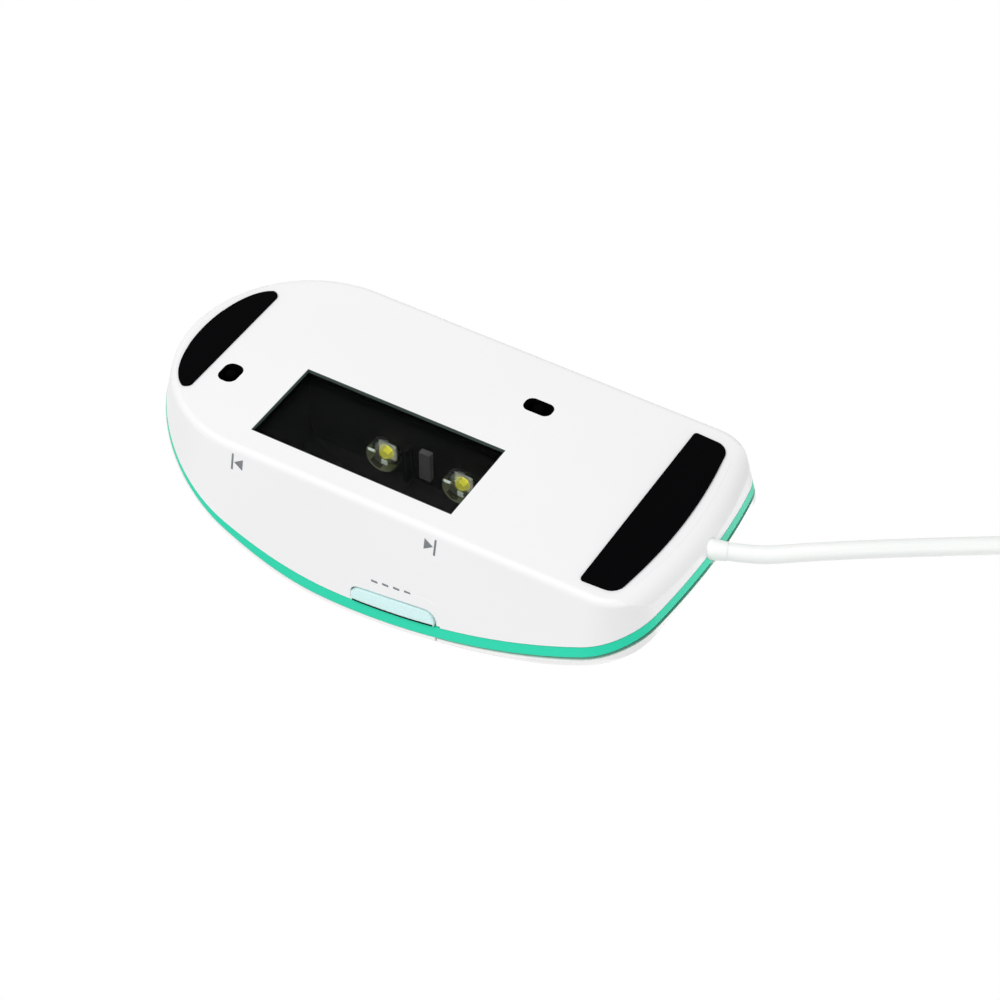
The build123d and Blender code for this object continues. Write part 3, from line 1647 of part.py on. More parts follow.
pieces = {
    "bottom_shell": bottom_shell(),
    "accent_band": accent_band(),
    "palm_cover": palm_cover(),
    "left_button": key(1),
    "right_button": key(-1),
    "key_frame": key_frame(),
    "wheel_tyre": wheel_tyre(),
    "wheel_hub": wheel_hub(),
    "wheel_carrier": wheel_carrier(),
    "wheel_emitter": counter(1),
    "wheel_detector": counter(-1),
    "wheel_switch": wheel_switch(),
    "left_switch": key_switch(1),
    "right_switch": key_switch(-1),
    "main_board": main_board(),
    "window_glass": window_glass(),
    "light_box": light_box(),
    "lamp_board": lamp_board(),
    "lamps": lamps(),
    "lamp_domes": lamp_domes(),
    "lamp_lenses": lamp_lenses(),
    "camera_barrel": camera_barrel(),
    "camera_lens": camera_lens(),
    "camera_holder": camera_holder(),
    "camera_chip": camera_chip(),
    "camera_board": camera_board(),
    "camera_screws": camera_screws(),
    "camera_ribbon": camera_ribbon(),
    "ribbon_socket": ribbon_socket(),
    "front_tracker": tracker(front_slot_x, front_slot_y),
    "rear_tracker": tracker(rear_slot_x, rear_slot_y),
    "front_tracker_lens": tracker_lens(front_slot_x, front_slot_y),
    "rear_tracker_lens": tracker_lens(rear_slot_x, rear_slot_y),
    "tracker_lamps": tracker_lamps(),
    "image_processor": chip(processor_x, window_y, processor_size, processor_size, processor_height),
    "memory_chip": chip(memory_x, memory_y, memory_width, memory_length, memory_height),
    "timing_crystal": chip(crystal_x, crystal_y, crystal_width, crystal_length, crystal_height),
    "scan_button": scan_button(),
    "scan_board": scan_board(),
    "scan_switch": scan_switch(),
    "scan_light": scan_light(),
    "front_foot": front_foot(),
    "rear_foot": rear_foot(),
    "shell_screws": shell_screws(),
    "board_screws": board_screws(),
    "cable_gland": cable_gland(),
    "inner_lead": inner_lead(),
    "cable_socket": cable_socket(),
    "cord": cord_solid,
    "cord_coil": coil_solid,
    "coil_tie": coil_tie(),
    "cord_tail": tail_solid,
    "plug_body": plug_body(),
    "plug_shell": plug_shell(),
    "plug_tongue": plug_tongue(),
    "plug_contacts": plug_contacts(),
}

for name, piece in pieces.items():
    export_step(piece, f"parts/{name}.step")
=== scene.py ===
import logging
import math
from dataclasses import dataclass, field
from enum import Enum
from typing import Any, Callable, Optional, Sequence, Union

import bmesh
import bpy
from mathutils import Matrix, Vector
from mathutils.bvhtree import BVHTree


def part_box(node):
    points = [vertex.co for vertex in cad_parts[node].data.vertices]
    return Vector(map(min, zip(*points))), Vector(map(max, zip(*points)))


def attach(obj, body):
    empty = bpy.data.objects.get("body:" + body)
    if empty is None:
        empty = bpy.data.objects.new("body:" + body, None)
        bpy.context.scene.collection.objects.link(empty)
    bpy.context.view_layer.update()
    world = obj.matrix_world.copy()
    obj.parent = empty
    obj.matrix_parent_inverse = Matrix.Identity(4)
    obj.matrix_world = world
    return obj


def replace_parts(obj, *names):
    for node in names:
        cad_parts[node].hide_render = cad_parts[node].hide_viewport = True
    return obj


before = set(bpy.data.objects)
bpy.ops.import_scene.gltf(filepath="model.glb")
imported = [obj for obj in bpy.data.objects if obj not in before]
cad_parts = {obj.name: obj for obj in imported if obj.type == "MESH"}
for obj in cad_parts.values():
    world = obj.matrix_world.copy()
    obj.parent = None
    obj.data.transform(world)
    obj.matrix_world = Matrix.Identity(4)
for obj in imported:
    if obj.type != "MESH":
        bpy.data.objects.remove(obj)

# A corded desktop mouse that also scans the paper under it. It stands on its feet at z = 0, the lead
# leaves at -Y, the palm is at +Y and the thumb side, with the scan button, is at +X. Sizes in metres.

log = logging.getLogger("scanning_mouse")
MM = 0.001
# rays that look for the thumb wall start at this x, outside of it, and run back
THUMB_SIDE = 0.06
TO_THUMB = Vector((1.0, 0.0, 0.0))
Colour = tuple[float, float, float]
Point = tuple[float, float, float]
Spot = tuple[float, float]


def paint(red: int, green: int, blue: int) -> Colour:
    """A colour as it is mixed on a swatch card, turned into light.

    Args:
        red: Red from 0 to 255.
        green: Green from 0 to 255.
        blue: Blue from 0 to 255.

    Returns:
        The three linear shares.
    """
    shares = [c / 255 for c in (red, green, blue)]
    lit = [s / 12.92 if s <= 0.04045 else ((s + 0.055) / 1.055) ** 2.4 for s in shares]
    return (lit[0], lit[1], lit[2])


def toned(colour: Colour, factor: float) -> Colour:
    """The colour, darker below a factor of 1 and lighter above it."""
    shares = [min(1.0, c * factor) for c in colour]
    return (shares[0], shares[1], shares[2])


def arithmetic(operation: str, swapped: bool = False) -> Callable[["Sock", "Value"], "Sock"]:
    """A method that joins a socket and another value in one Math node.

    Args:
        operation: The Math node's operation.
        swapped: Whether the other value comes first.

    Returns:
        The method.
    """

    def method(self: "Sock", other: "Value") -> "Sock":
        """The Math node's result."""
        pair = (other, self) if swapped else (self, other)
        return self.tree.maths(operation, *pair)

    return method


class Sock:
    """An output socket that takes part in Python arithmetic on values."""

    __add__, __radd__ = arithmetic("ADD"), arithmetic("ADD", True)
    __sub__, __rsub__ = arithmetic("SUBTRACT"), arithmetic("SUBTRACT", True)
    __mul__, __rmul__ = arithmetic("MULTIPLY"), arithmetic("MULTIPLY", True)
    __truediv__, __rtruediv__ = arithmetic("DIVIDE"), arithmetic("DIVIDE", True)
    __lt__, __gt__ = arithmetic("LESS_THAN"), arithmetic("GREATER_THAN")

    def __init__(self, tree: "Nodes", output: bpy.types.NodeSocket) -> None:
        """Wraps one output of one tree."""
        self.tree = tree
        self.output = output


Value = Union[Sock, float]
Tone = Union[Sock, Colour]


class Nodes:
    """A node tree of either kind, written as Python expressions."""

    def __init__(self, group: bpy.types.NodeTree) -> None:
        """Starts on an empty tree.

        Args:
            group: The tree, which is emptied first.
        """
        self.group = group
        self.nodes = group.nodes
        self.links = group.links
        self.nodes.clear()

    def node(
        self, kind: str, settings: Optional[dict] = None, inputs: Optional[dict] = None
    ) -> bpy.types.Node:
        """Adds any node.

        Args:
            kind: The node's type.
            settings: What is set on the node first.
            inputs: The values or links of its sockets.

        Returns:
            The node.
        """
        made = self.nodes.new(kind)
        for key, value in (settings or {}).items():
            setattr(made, key, value)
        for key, value in (inputs or {}).items():
            self.feed(made.inputs[key], value)
        return made

    def feed(self, socket: bpy.types.NodeSocket, value: object) -> None:
        """Links a socket to an output, or sets its plain value.

        Args:
            socket: The input socket.
            value: Another node's output, a number, a colour or a setting.
        """
        if isinstance(value, Sock):
            self.links.new(value.output, socket)
        elif isinstance(value, tuple) and socket.type == "RGBA" and len(value) == 3:
            socket.default_value = (*value, 1.0)
        else:
            socket.default_value = value

    def sock(self, made: bpy.types.Node, output: Union[int, str] = 0) -> Sock:
        """One output of a node, ready for arithmetic."""
        return Sock(self, made.outputs[output])

    def result(
        self, kind: str, inputs: Optional[dict] = None, settings: Optional[dict] = None
    ) -> Sock:
        """Adds a node and gives its first output."""
        return self.sock(self.node(kind, settings, inputs))

    def maths(self, operation: str, first: "Value", second: "Value" = 0.0) -> Sock:
        """One Math node on two values."""
        return self.result("ShaderNodeMath", {0: first, 1: second}, {"operation": operation})

    def steps(self, value: "Value", low: float, high: float) -> Sock:
        """0 below low, 1 above high and a soft step between them."""
        inputs = {"Value": value, "From Min": low, "From Max": high}
        return self.result("ShaderNodeMapRange", inputs, {"interpolation_type": "SMOOTHSTEP"})

    def parts(self, vector: Sock) -> tuple[Sock, ...]:
        """The three values of a vector."""
        made = self.node("ShaderNodeSeparateXYZ", {}, {0: vector})
        return tuple(Sock(self, o) for o in made.outputs)

    def joined(self, x: "Value", y: "Value", z: "Value") -> Sock:
        """A vector of three values."""
        return self.result("ShaderNodeCombineXYZ", {0: x, 1: y, 2: z})


class Tree(Nodes):
    """A material's nodes."""

    def __init__(self, name: str) -> None:
        """Starts an empty material of that name.

        Args:
            name: The material's name.
        """
        self.material = bpy.data.materials.new(name)
        self.material.use_nodes = True
        super().__init__(self.material.node_tree)

    def place(self, turn: Point = (0.0, 0.0, 0.0), stretch: Point = (1.0, 1.0, 1.0)) -> Sock:
        """Object coordinates, turned and stretched on the piece.

        Args:
            turn: The turn in degrees.
            stretch: How much finer the pattern is along each axis.

        Returns:
            The coordinates.
        """
        where = self.sock(self.node("ShaderNodeTexCoord"), "Object")
        angles = tuple(math.radians(t) for t in turn)
        return self.result("ShaderNodeMapping", {"Vector": where, "Rotation": angles, "Scale": stretch})

    def noise(self, vector: Sock, size: float, detail: float = 2.0, bend: float = 0.0) -> Sock:
        """Cloudy noise whose lumps are about that size, from 0 to 1."""
        inputs = {"Vector": vector, "Scale": 1 / size, "Detail": detail, "Distortion": bend}
        return self.result("ShaderNodeTexNoise", inputs)

    def cells(self, vector: Sock, size: float) -> Sock:
        """Distance in cells of about that size."""
        made = self.node("ShaderNodeTexVoronoi", {}, {"Vector": vector, "Scale": 1 / size})
        return self.sock(made, "Distance")

    def mix(self, share: Value, first: Tone, second: Tone) -> Sock:
        """Mixes two colours."""
        made = self.node("ShaderNodeMix", {"data_type": "RGBA"}, {0: share, 6: first, 7: second})
        return self.sock(made, 2)

    def bump(self, height: Value, depth: float, strength: float = 1.0) -> Sock:
        """A normal that stands as deep as that, in metres."""
        inputs = {"Height": height, "Distance": depth, "Strength": strength}
        return self.result("ShaderNodeBump", inputs)

    def finish(self, **inputs: object) -> bpy.types.Material:
        """Ends the tree in one surface shader, its sockets named with underscores for spaces.

        Args:
            inputs: The values or links of the shader's sockets.

        Returns:
            The material.
        """
        named = {key.replace("_", " "): value for key, value in inputs.items()}
        self.node("ShaderNodeOutputMaterial", {}, {0: self.result("ShaderNodeBsdfPrincipled", named)})
        return self.material


@dataclass(frozen=True)
class MouldedPlastic:
    """Moulded plastic with a slow drift of tone, a fine grain of the mould and faint scuffs."""

    name: str
    colour: Colour
    roughness: float = 0.34
    drift: float = 0.02
    grain: float = 0.32 * MM
    depth: float = 0.006 * MM
    scuffs: float = 0.05
    coat: float = 0.0
    glow: float = 0.0
    shine: float = 0.5
    # lit: strength of a painted glow, light given off in the plastic's own colour though the piece is no
    # lamp
    lit: float = 0.0
    drift_size: float = 34 * MM
    flow_size: float = 7 * MM
    hair_size: float = 0.5 * MM

    def make(self) -> bpy.types.Material:
        """Builds the material.

        Returns:
            The material.
        """
        tree = Tree(self.name)
        place = tree.place()
        slow = tree.noise(place, self.drift_size, 1.0)
        flow = tree.noise(tree.place(stretch=(1.0, 0.22, 1.0)), self.flow_size, 2.0, 0.4)
        fine = tree.noise(place, self.grain, 2.0)
        hair = tree.noise(tree.place(turn=(0, 0, 31), stretch=(0.06, 1.0, 0.4)), self.hair_size, 2.0)
        rubbed = tree.steps(hair, 0.66, 0.72) * tree.steps(slow, 0.5, 0.62)
        base = tree.mix(slow, toned(self.colour, 1 - self.drift), toned(self.colour, 1 + self.drift))
        streaked = tree.mix(flow * (self.drift * 2), base, toned(self.colour, 0.93))
        shade = tree.mix(rubbed * self.scuffs, streaked, toned(self.colour, 0.8))
        rough = self.roughness + (fine - 0.5) * 0.10 + (slow - 0.5) * 0.08 + rubbed * self.scuffs
        # painted glow: emission in the surface's own colour, only where lit is set
        light = {"Emission_Color": shade, "Emission_Strength": self.lit} if self.lit else {}
        return tree.finish(
            Base_Color=shade,
            Roughness=rough,
            Normal=tree.bump(fine, self.depth, 0.6),
            Specular_IOR_Level=self.shine,
            Coat_Weight=self.coat,
            Coat_Roughness=0.12,
            Subsurface_Weight=self.glow,
            Subsurface_Radius=(1.0, 0.9, 0.8),
            Subsurface_Scale=1.2 * MM,
            **light,
        )


@dataclass(frozen=True)
class SoftRubber:
    """Rubber, felt or vinyl: matt, with a pebbled skin and paler rubbed spots."""

    name: str
    colour: Colour
    roughness: float = 0.7
    pebble: float = 0.22 * MM
    depth: float = 0.02 * MM
    worn: float = 0.3
    shine: float = 0.5
    wear_size: float = 9 * MM

    def make(self) -> bpy.types.Material:
        """Builds the material.

        Returns:
            The material.
        """
        tree = Tree(self.name)
        place = tree.place()
        slow = tree.noise(place, self.wear_size, 3.0)
        pits = tree.cells(place, self.pebble)
        fine = tree.noise(place, self.pebble * 0.4, 2.0)
        worn = tree.steps(slow, 0.52, 0.74) * self.worn
        shade = tree.mix(worn, self.colour, toned(self.colour, 1.7))
        grained = tree.mix(pits * 0.35, shade, toned(self.colour, 0.7))
        return tree.finish(
            Base_Color=grained,
            Roughness=self.roughness + (fine - 0.5) * 0.14 - worn * 0.12,
            Specular_IOR_Level=self.shine,
            Normal=tree.bump(pits + fine * 0.4, self.depth, 0.7),
        )


@dataclass(frozen=True)
class WornMetal:
    """Plated sheet or turned metal, brushed along one axis."""

    name: str
    colour: Colour
    roughness: float = 0.26
    brush: Point = (0.08, 1.0, 1.0)
    line_size: float = 0.12 * MM
    stain_size: float = 3 * MM
    depth: float = 0.004 * MM

    def make(self) -> bpy.types.Material:
        """Builds the material.

        Returns:
            The material.
        """
        tree = Tree(self.name)
        lines = tree.noise(tree.place(stretch=self.brush), self.line_size, 3.0)
        slow = tree.noise(tree.place(), self.stain_size, 3.0)
        stained = tree.steps(slow, 0.55, 0.8)
        shade = tree.mix(lines * 0.5, self.colour, toned(self.colour, 0.82))
        return tree.finish(
            Base_Color=tree.mix(stained * 0.35, shade, toned(self.colour, 0.66)),
            Metallic=1.0,
            Roughness=self.roughness + (lines - 0.5) * 0.16 + stained * 0.12,
            Normal=tree.bump(lines, self.depth, 0.5),
        )


@dataclass(frozen=True)
class CircuitBoard:
    """Laminate under green resist, with copper runs, plated holes and a bare edge."""

    name: str
    colour: Colour = paint(20, 92, 52)
    copper: Colour = paint(56, 128, 72)
    upright: bool = False
    brick: float = 6 * MM
    hole_size: float = 2.4 * MM
    weave_size: float = 0.5 * MM
    depth: float = 0.03 * MM

    def make(self) -> bpy.types.Material:
        """Builds the material.

        Returns:
            The material.
        """
        tree = Tree(self.name)
        place = tree.place(turn=(0, 90, 0) if self.upright else (0, 0, 0))
        bricks = tree.node(
            "ShaderNodeTexBrick",
            {"offset": 0.37, "squash": 2.0, "squash_frequency": 3},
            {
                "Vector": place,
                "Scale": 1 / self.brick,
                "Mortar Size": 0.03,
                "Mortar Smooth": 0.1,
                "Brick Width": 0.9,
                "Row Height": 0.24,
            },
        )
        runs = tree.sock(bricks, "Fac")
        holes = tree.cells(place, self.hole_size)
        pads = 1 - tree.steps(holes, 0.16, 0.19)
        weave = tree.noise(place, self.weave_size, 2.0)
        resist = tree.mix(runs * 0.8, self.colour, self.copper)
        plated = tree.mix(pads, resist, paint(176, 172, 150))
        shade = tree.mix(weave * 0.12, plated, toned(self.colour, 0.6))
        return tree.finish(
            Base_Color=shade,
            Metallic=pads * 0.8,
            Roughness=0.36 + (weave - 0.5) * 0.12,
            Normal=tree.bump(runs * 0.5 + pads + weave * 0.1, self.depth, 0.7),
            Coat_Weight=0.2,
        )


@dataclass(frozen=True)
class ClearPiece:
    """Glass or clear plastic: nearly see-through face on, and more like a mirror at a slant."""

    name: str
    colour: Colour
    body: float = 0.2
    edge: float = 0.6
    roughness: float = 0.06
    smear: float = 0.05
    coat: float = 1.0
    shine: float = 0.5
    smear_size: float = 8 * MM
    dust_size: float = 0.25 * MM

    def make(self) -> bpy.types.Material:
        """Builds the material.

        Returns:
            The material.
        """
        tree = Tree(self.name)
        slow = tree.noise(tree.place(stretch=(1.0, 0.4, 1.0)), self.smear_size, 3.0)
        dust = tree.steps(tree.noise(tree.place(), self.dust_size, 2.0), 0.7, 0.76)
        film = tree.result("ShaderNodeFresnel", {"IOR": 1.5})
        shade = tree.mix(dust * self.smear, self.colour, paint(190, 190, 186))
        return tree.finish(
            Base_Color=shade,
            Alpha=self.body + film * self.edge + dust * self.smear,
            Roughness=self.roughness + slow * self.smear,
            Specular_IOR_Level=self.shine,
            Coat_Weight=self.coat,
            Coat_Roughness=0.03,
        )


@dataclass(frozen=True)
class PrintedInk:
    """Pad-printed ink, a little thin in places."""

    name: str
    colour: Colour
    patch_size: float = 0.3 * MM

    def make(self) -> bpy.types.Material:
        """Builds the material.

        Returns:
            The material.
        """
        tree = Tree(self.name)
        thin = tree.noise(tree.place(), self.patch_size, 3.0)
        return tree.finish(
            Base_Color=tree.mix(tree.steps(thin, 0.5, 0.8), self.colour, toned(self.colour, 1.5)),
            Roughness=0.45 + thin * 0.1,
        )


SHELL = MouldedPlastic("white_case", paint(246, 246, 247), 0.42, shine=0.35)
COVER = MouldedPlastic("white_cover", paint(244, 244, 243), 0.24, depth=0.004 * MM, coat=0.3)
BAND = MouldedPlastic("turquoise_band", paint(50, 222, 182), 0.4, 0.04, glow=0.1, shine=0.1)
AQUA = MouldedPlastic("aqua_button", paint(214, 247, 246), 0.26, 0.03, coat=0.1, glow=0.4)
INNER_BLACK = MouldedPlastic("black_inner_box", paint(9, 11, 11), 0.6, 0.2, 0.4 * MM, 0.02 * MM, shine=0.2)
# painted shade: a dark grey-green sleeve over the white walls of the scan window's opening, tinted like the
# glass edge
OPENING_SHADE = MouldedPlastic("painted_shade_opening_wall", paint(84, 98, 92), 0.5, 0.08, shine=0.2)
# painted shade: near black, for the sleeves in the tracking slots and the shadow line at the scan key's
# edge
PAINTED_SHADE_BLACK = MouldedPlastic("painted_shade_black", paint(5, 5, 6), 0.7, 0.2, shine=0.05)
# painted shade: the tracking lenses are near black so that the slots look dark inside
SENSOR_LENS_SHADE = MouldedPlastic("sensor_lens_painted_shade", paint(1, 1, 2), 0.3, scuffs=0, shine=0.01)
INNER_GREY = MouldedPlastic("grey_inner_frame", paint(120, 124, 128), 0.45, 0.05)
HUB_GREY = MouldedPlastic("pale_wheel_hub", paint(206, 212, 212), 0.3, 0.03, coat=0.2)
SOCKET = MouldedPlastic("ivory_socket", paint(232, 226, 206), 0.4, 0.04)
SWITCH = MouldedPlastic("black_switch_case", paint(30, 31, 34), 0.38, 0.15)
CHIP = MouldedPlastic("black_chip_resin", paint(26, 27, 30), 0.5, 0.2, 0.12 * MM, 0.02 * MM)
CERAMIC = MouldedPlastic("brown_ceramic", paint(150, 118, 82), 0.5, 0.15, 0.1 * MM, 0.01 * MM)
# painted glow: the lamp case and the phosphor give off light in their own colours so that they show in the
# dark box behind the glass
PACKAGE = MouldedPlastic("white_lamp_case", paint(236, 240, 226), 0.42, 0.03, lit=0.5)
PHOSPHOR = MouldedPlastic("yellow_phosphor", paint(226, 224, 60), 0.3, 0.08, glow=0.3, lit=1.2)
PLUG_WHITE = MouldedPlastic("white_plug_grip", paint(236, 238, 235), 0.42, 0.03, glow=0.1)
TONGUE = MouldedPlastic("black_plug_tongue", paint(24, 24, 26), 0.42, 0.1)
VINYL = MouldedPlastic("white_lead_vinyl", paint(247, 250, 247), 0.42, 0.02, 0.2 * MM, 0.01 * MM, glow=0.15)
FOOT = SoftRubber("black_slide_foot", paint(3, 3, 4), 0.6, 0.18 * MM, 0.01 * MM, 0.1, shine=0.015)
TYRE = SoftRubber("grey_tyre_rubber", paint(92, 96, 100), 0.68)
TIE = SoftRubber("black_tie_strap", paint(30, 31, 33), 0.85, 0.35 * MM, 0.12 * MM, 0.4)
STEEL = WornMetal("steel_screws", paint(196, 198, 202), 0.3)
TINNED = WornMetal("tinned_pins", paint(210, 210, 206), 0.28, (1.0, 1.0, 0.1))
CAN = WornMetal("crystal_can", paint(206, 206, 204), 0.22, (1.0, 0.08, 1.0))
PLATED = WornMetal("nickel_plug_shell", paint(212, 212, 208), 0.2, (0.1, 0.6, 1.0))
GOLD = WornMetal("gold_contacts", paint(232, 190, 96), 0.22)
BOARD = CircuitBoard("green_board")
UPRIGHT_BOARD = CircuitBoard("green_board_upright", upright=True)
FLEX = MouldedPlastic("amber_flex", paint(190, 120, 40), 0.3, 0.12, coat=0.3)
PANE = ClearPiece("scan_window_glass", paint(4, 7, 6), 0.04, 0.35, 0.05, 0.01, 0.0, 0.15)
# painted light: colour paler than the bar's own grey, plus a faint painted glow, so that it shows in the
# dark box
GREY_BAR = MouldedPlastic("grey_bar_cover", paint(112, 114, 112), 0.4, 0.1, shine=0.3, lit=0.1)
# painted highlight: bright glowing blocks that stand for glints on the lamps' clear caps
PAINTED_GLINT = MouldedPlastic("painted_lamp_glint", paint(226, 240, 228), 0.3, 0.05, lit=0.9)
CLEAR = ClearPiece("clear_cap", paint(206, 216, 206), 0.02, 0.45, 0.05, 0.03)
LENS = ClearPiece("coated_lens", paint(70, 60, 110), 0.5, 1.0, 0.04)
RED_CLEAR = ClearPiece("red_tinted_lamp", paint(190, 40, 36), 0.6, 0.8, 0.12)
INK = PrintedInk("grey_print", paint(112, 118, 122))

MADE: dict[str, bpy.types.Material] = {}
Finish = Union[MouldedPlastic, SoftRubber, WornMetal, CircuitBoard, ClearPiece, PrintedInk]


def material(finish: Finish) -> bpy.types.Material:
    """The finish's material, made once.

    Args:
        finish: What a piece is made of.

    Returns:
        The material that stands for it.
    """
    if finish.name not in MADE:
        MADE[finish.name] = finish.make()
    return MADE[finish.name]


def finishes(**dressed: Finish) -> Any:
    """A dataclass field that says what each part of the frame is made of."""
    return field(default_factory=lambda: dressed)


def dress(dressed: dict[str, Finish]) -> None:
    """Gives parts of the frame their finishes.

    Args:
        dressed: Each part's name and what it is made of.
    """
    for node, finish in dressed.items():
        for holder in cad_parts[node].material_slots:
            holder.link = "OBJECT"
            holder.material = material(finish)
        log.info("dressed %s in %s", node, finish.name)


def placed(name: str, data: Optional[bpy.types.ID]) -> bpy.types.Object:
    """A new object in the scene.

    Args:
        name: The object's name.
        data: Its mesh, curve, lamp or camera.

    Returns:
        The object.
    """
    piece = bpy.data.objects.new(name, data)
    bpy.context.scene.collection.objects.link(piece)
    return piece


def cooked(piece: bpy.types.Object) -> bpy.types.Mesh:
    """The piece's mesh with its modifiers worked in."""
    depsgraph = bpy.context.evaluated_depsgraph_get()
    return bpy.data.meshes.new_from_object(piece.evaluated_get(depsgraph), depsgraph=depsgraph)


def add_piece(
    name: str, mesh: bpy.types.Mesh, finish: Finish, body: str = "body"
) -> bpy.types.Object:
    """Puts a finished mesh into the scene, on its body.

    Args:
        name: The piece's name.
        mesh: Its mesh, in the shared frame.
        finish: What it is made of.
        body: The body it moves with.

    Returns:
        The object.
    """
    piece = placed(name, mesh)
    mesh.materials.clear()
    mesh.materials.append(material(finish))
    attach(piece, body)
    log.info("built %s with %d faces", name, len(mesh.polygons))
    return piece


def part_mesh(node: str) -> bpy.types.Mesh:
    """A part's own mesh, only to read."""
    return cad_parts[node].data


def tree_of(node: str) -> BVHTree:
    """A search tree of a part's faces, to lay prints and trims on it.

    Args:
        node: The part.

    Returns:
        The search tree.
    """
    mesh = part_mesh(node)
    faces = [tuple(p.vertices) for p in mesh.polygons]
    return BVHTree.FromPolygons([v.co.copy() for v in mesh.vertices], faces)


def struck(face: BVHTree, y: float, z: float) -> tuple[Optional[Vector], Optional[Vector]]:
    """Where a ray from the thumb side first meets a part, and the normal there."""
    return face.ray_cast(Vector((THUMB_SIDE, y, z)), -TO_THUMB)[:2]


def mesh_of(name: str, made: bmesh.types.BMesh, toward: Optional[Vector] = None) -> bpy.types.Mesh:
    """Turns what was made into a mesh and frees it.

    Args:
        name: The mesh's name.
        made: What was made.
        toward: The side all faces look to, or None where they look outward.

    Returns:
        The mesh.
    """
    bmesh.ops.recalc_face_normals(made, faces=made.faces)
    for face in made.faces:
        if toward is not None and face.normal.dot(toward) < 0:
            face.normal_flip()
    mesh = bpy.data.meshes.new(name)
    made.to_mesh(mesh)
    made.free()
    return mesh


def draw_out(made: bmesh.types.BMesh, corners: Sequence[Point], axis: int, far: float) -> None:
    """Lays a face on those corners and draws it out along one axis to a solid.

    Args:
        made: The mesh it is made in.
        corners: The face's corners.
        axis: The axis, 0 for X to 2 for Z.
        far: Where the other end lies on that axis.
    """
    face = made.faces.new([made.verts.new(corner) for corner in corners])
    for item in bmesh.ops.extrude_face_region(made, geom=[face])["geom"]:
        if isinstance(item, bmesh.types.BMVert):
            item.co[axis] = far


def shade_sleeve(name: str, outline: Sequence[Spot], low: float, high: float, finish: Finish) -> None:
    """A thin dark sleeve over the walls of an opening in the floor, as painted shade.

    Args:
        name: The piece's name.
        outline: The opening's corners in (x, y), counterclockwise.
        low: The sleeve's lower edge.
        high: Its upper edge.
        finish: What it is made of.
    """
    outside, inside = 0.02 * MM, 0.1 * MM
    count = len(outline)
    middle_x, middle_y = (sum(p[i] for p in outline) / count for i in (0, 1))
    made = bmesh.new()
    rings = []
    for inset, z in ((outside, low), (outside, high), (inside, high), (inside, low)):
        ring = []
        for x, y in outline:
            flat = (x - math.copysign(inset, x - middle_x), y - math.copysign(inset, y - middle_y))
            ring.append(made.verts.new((*flat, z)))
        rings.append(ring)
    for first, second in zip(rings, rings[1:] + rings[:1]):
        for i in range(count):
            j = (i + 1) % count
            made.faces.new((first[i], first[j], second[j], second[i]))
    add_piece(name, mesh_of(name, made), finish)


def hull_of(node: str, grow: float) -> list[Spot]:
    """The outline round a part seen from above.

    Args:
        node: The part.
        grow: How much further out the outline runs.

    Returns:
        Its corners in (x, y), counterclockwise.
    """
    ordered = sorted({(round(v.co.x, 6), round(v.co.y, 6)) for v in part_mesh(node).vertices})

    def chain(points: Sequence[Spot]) -> list[Spot]:
        """One side of the hull.

        Args:
            points: The points in order along X.

        Returns:
            The points of that side, without the last.
        """
        kept: list[Spot] = []
        for p in points:
            while len(kept) > 1:
                (ax, ay), (bx, by) = kept[-2:]
                if (bx - ax) * (p[1] - ay) - (by - ay) * (p[0] - ax) > 0:
                    break
                kept.pop()
            kept.append(p)
        return kept[:-1]

    loop = chain(ordered) + chain(ordered[::-1])
    middle = [sum(p[i] for p in loop) / len(loop) for i in (0, 1)]
    scale = [1 + grow / max(abs(p[i] - middle[i]) for p in loop) for i in (0, 1)]
    return [tuple(m + (c - m) * k for m, c, k in zip(middle, p, scale)) for p in loop]


def flat_pad(
    name: str, outline: Sequence[Spot], low: float, high: float, edge: float = 0.0
) -> bpy.types.Mesh:
    """A flat solid on that outline, its lower rim rounded by edge.

    Args:
        name: The mesh's name.
        outline: The corners in (x, y), counterclockwise.
        low: Its underside.
        high: Its top.
        edge: The rim's radius, or 0 for a sharp one.

    Returns:
        The mesh.
    """
    made = bmesh.new()
    draw_out(made, [(x, y, low) for x, y in outline], 2, high)
    if edge > 0:
        rim = [e for e in made.edges if all(v.co.z < low + 1e-7 for v in e.verts)]
        bmesh.ops.bevel(made, geom=rim, offset=edge, segments=3, profile=0.5, affect="EDGES")
    return mesh_of(name, made)


def blocks(name: str, spans: Sequence[tuple[Point, Point]]) -> bpy.types.Mesh:
    """A mesh of plain blocks, each between its low and its high corner.

    Args:
        name: The mesh's name.
        spans: Each block's two corners.

    Returns:
        The mesh.
    """
    made = bmesh.new()
    for low, high in spans:
        for v in bmesh.ops.create_cube(made, size=1.0)["verts"]:
            v.co = [(a + b) / 2 + c * (b - a) for a, b, c in zip(low, high, v.co)]
    return mesh_of(name, made)


def carved(
    name: str, base: bpy.types.Mesh, cutter: bpy.types.Mesh, operation: str
) -> bpy.types.Mesh:
    """A copy of a mesh, cut by or with another.

    Args:
        name: The new mesh's name.
        base: The mesh that is copied and merged.
        cutter: The other solid.
        operation: INTERSECT or DIFFERENCE.

    Returns:
        The new mesh.
    """
    copy = bpy.data.meshes.new(name)
    made = bmesh.new()
    made.from_mesh(base)
    bmesh.ops.remove_doubles(made, verts=made.verts, dist=1e-7)
    made.to_mesh(copy)
    made.free()
    block, tool = placed(name, copy), placed(name + "_tool", cutter)
    cut = block.modifiers.new("cut", "BOOLEAN")
    cut.operation, cut.object, cut.solver = operation, tool, "EXACT"
    result = cooked(block)
    block.modifiers.remove(cut)
    for item in (block, tool):
        bpy.data.objects.remove(item)
    return result


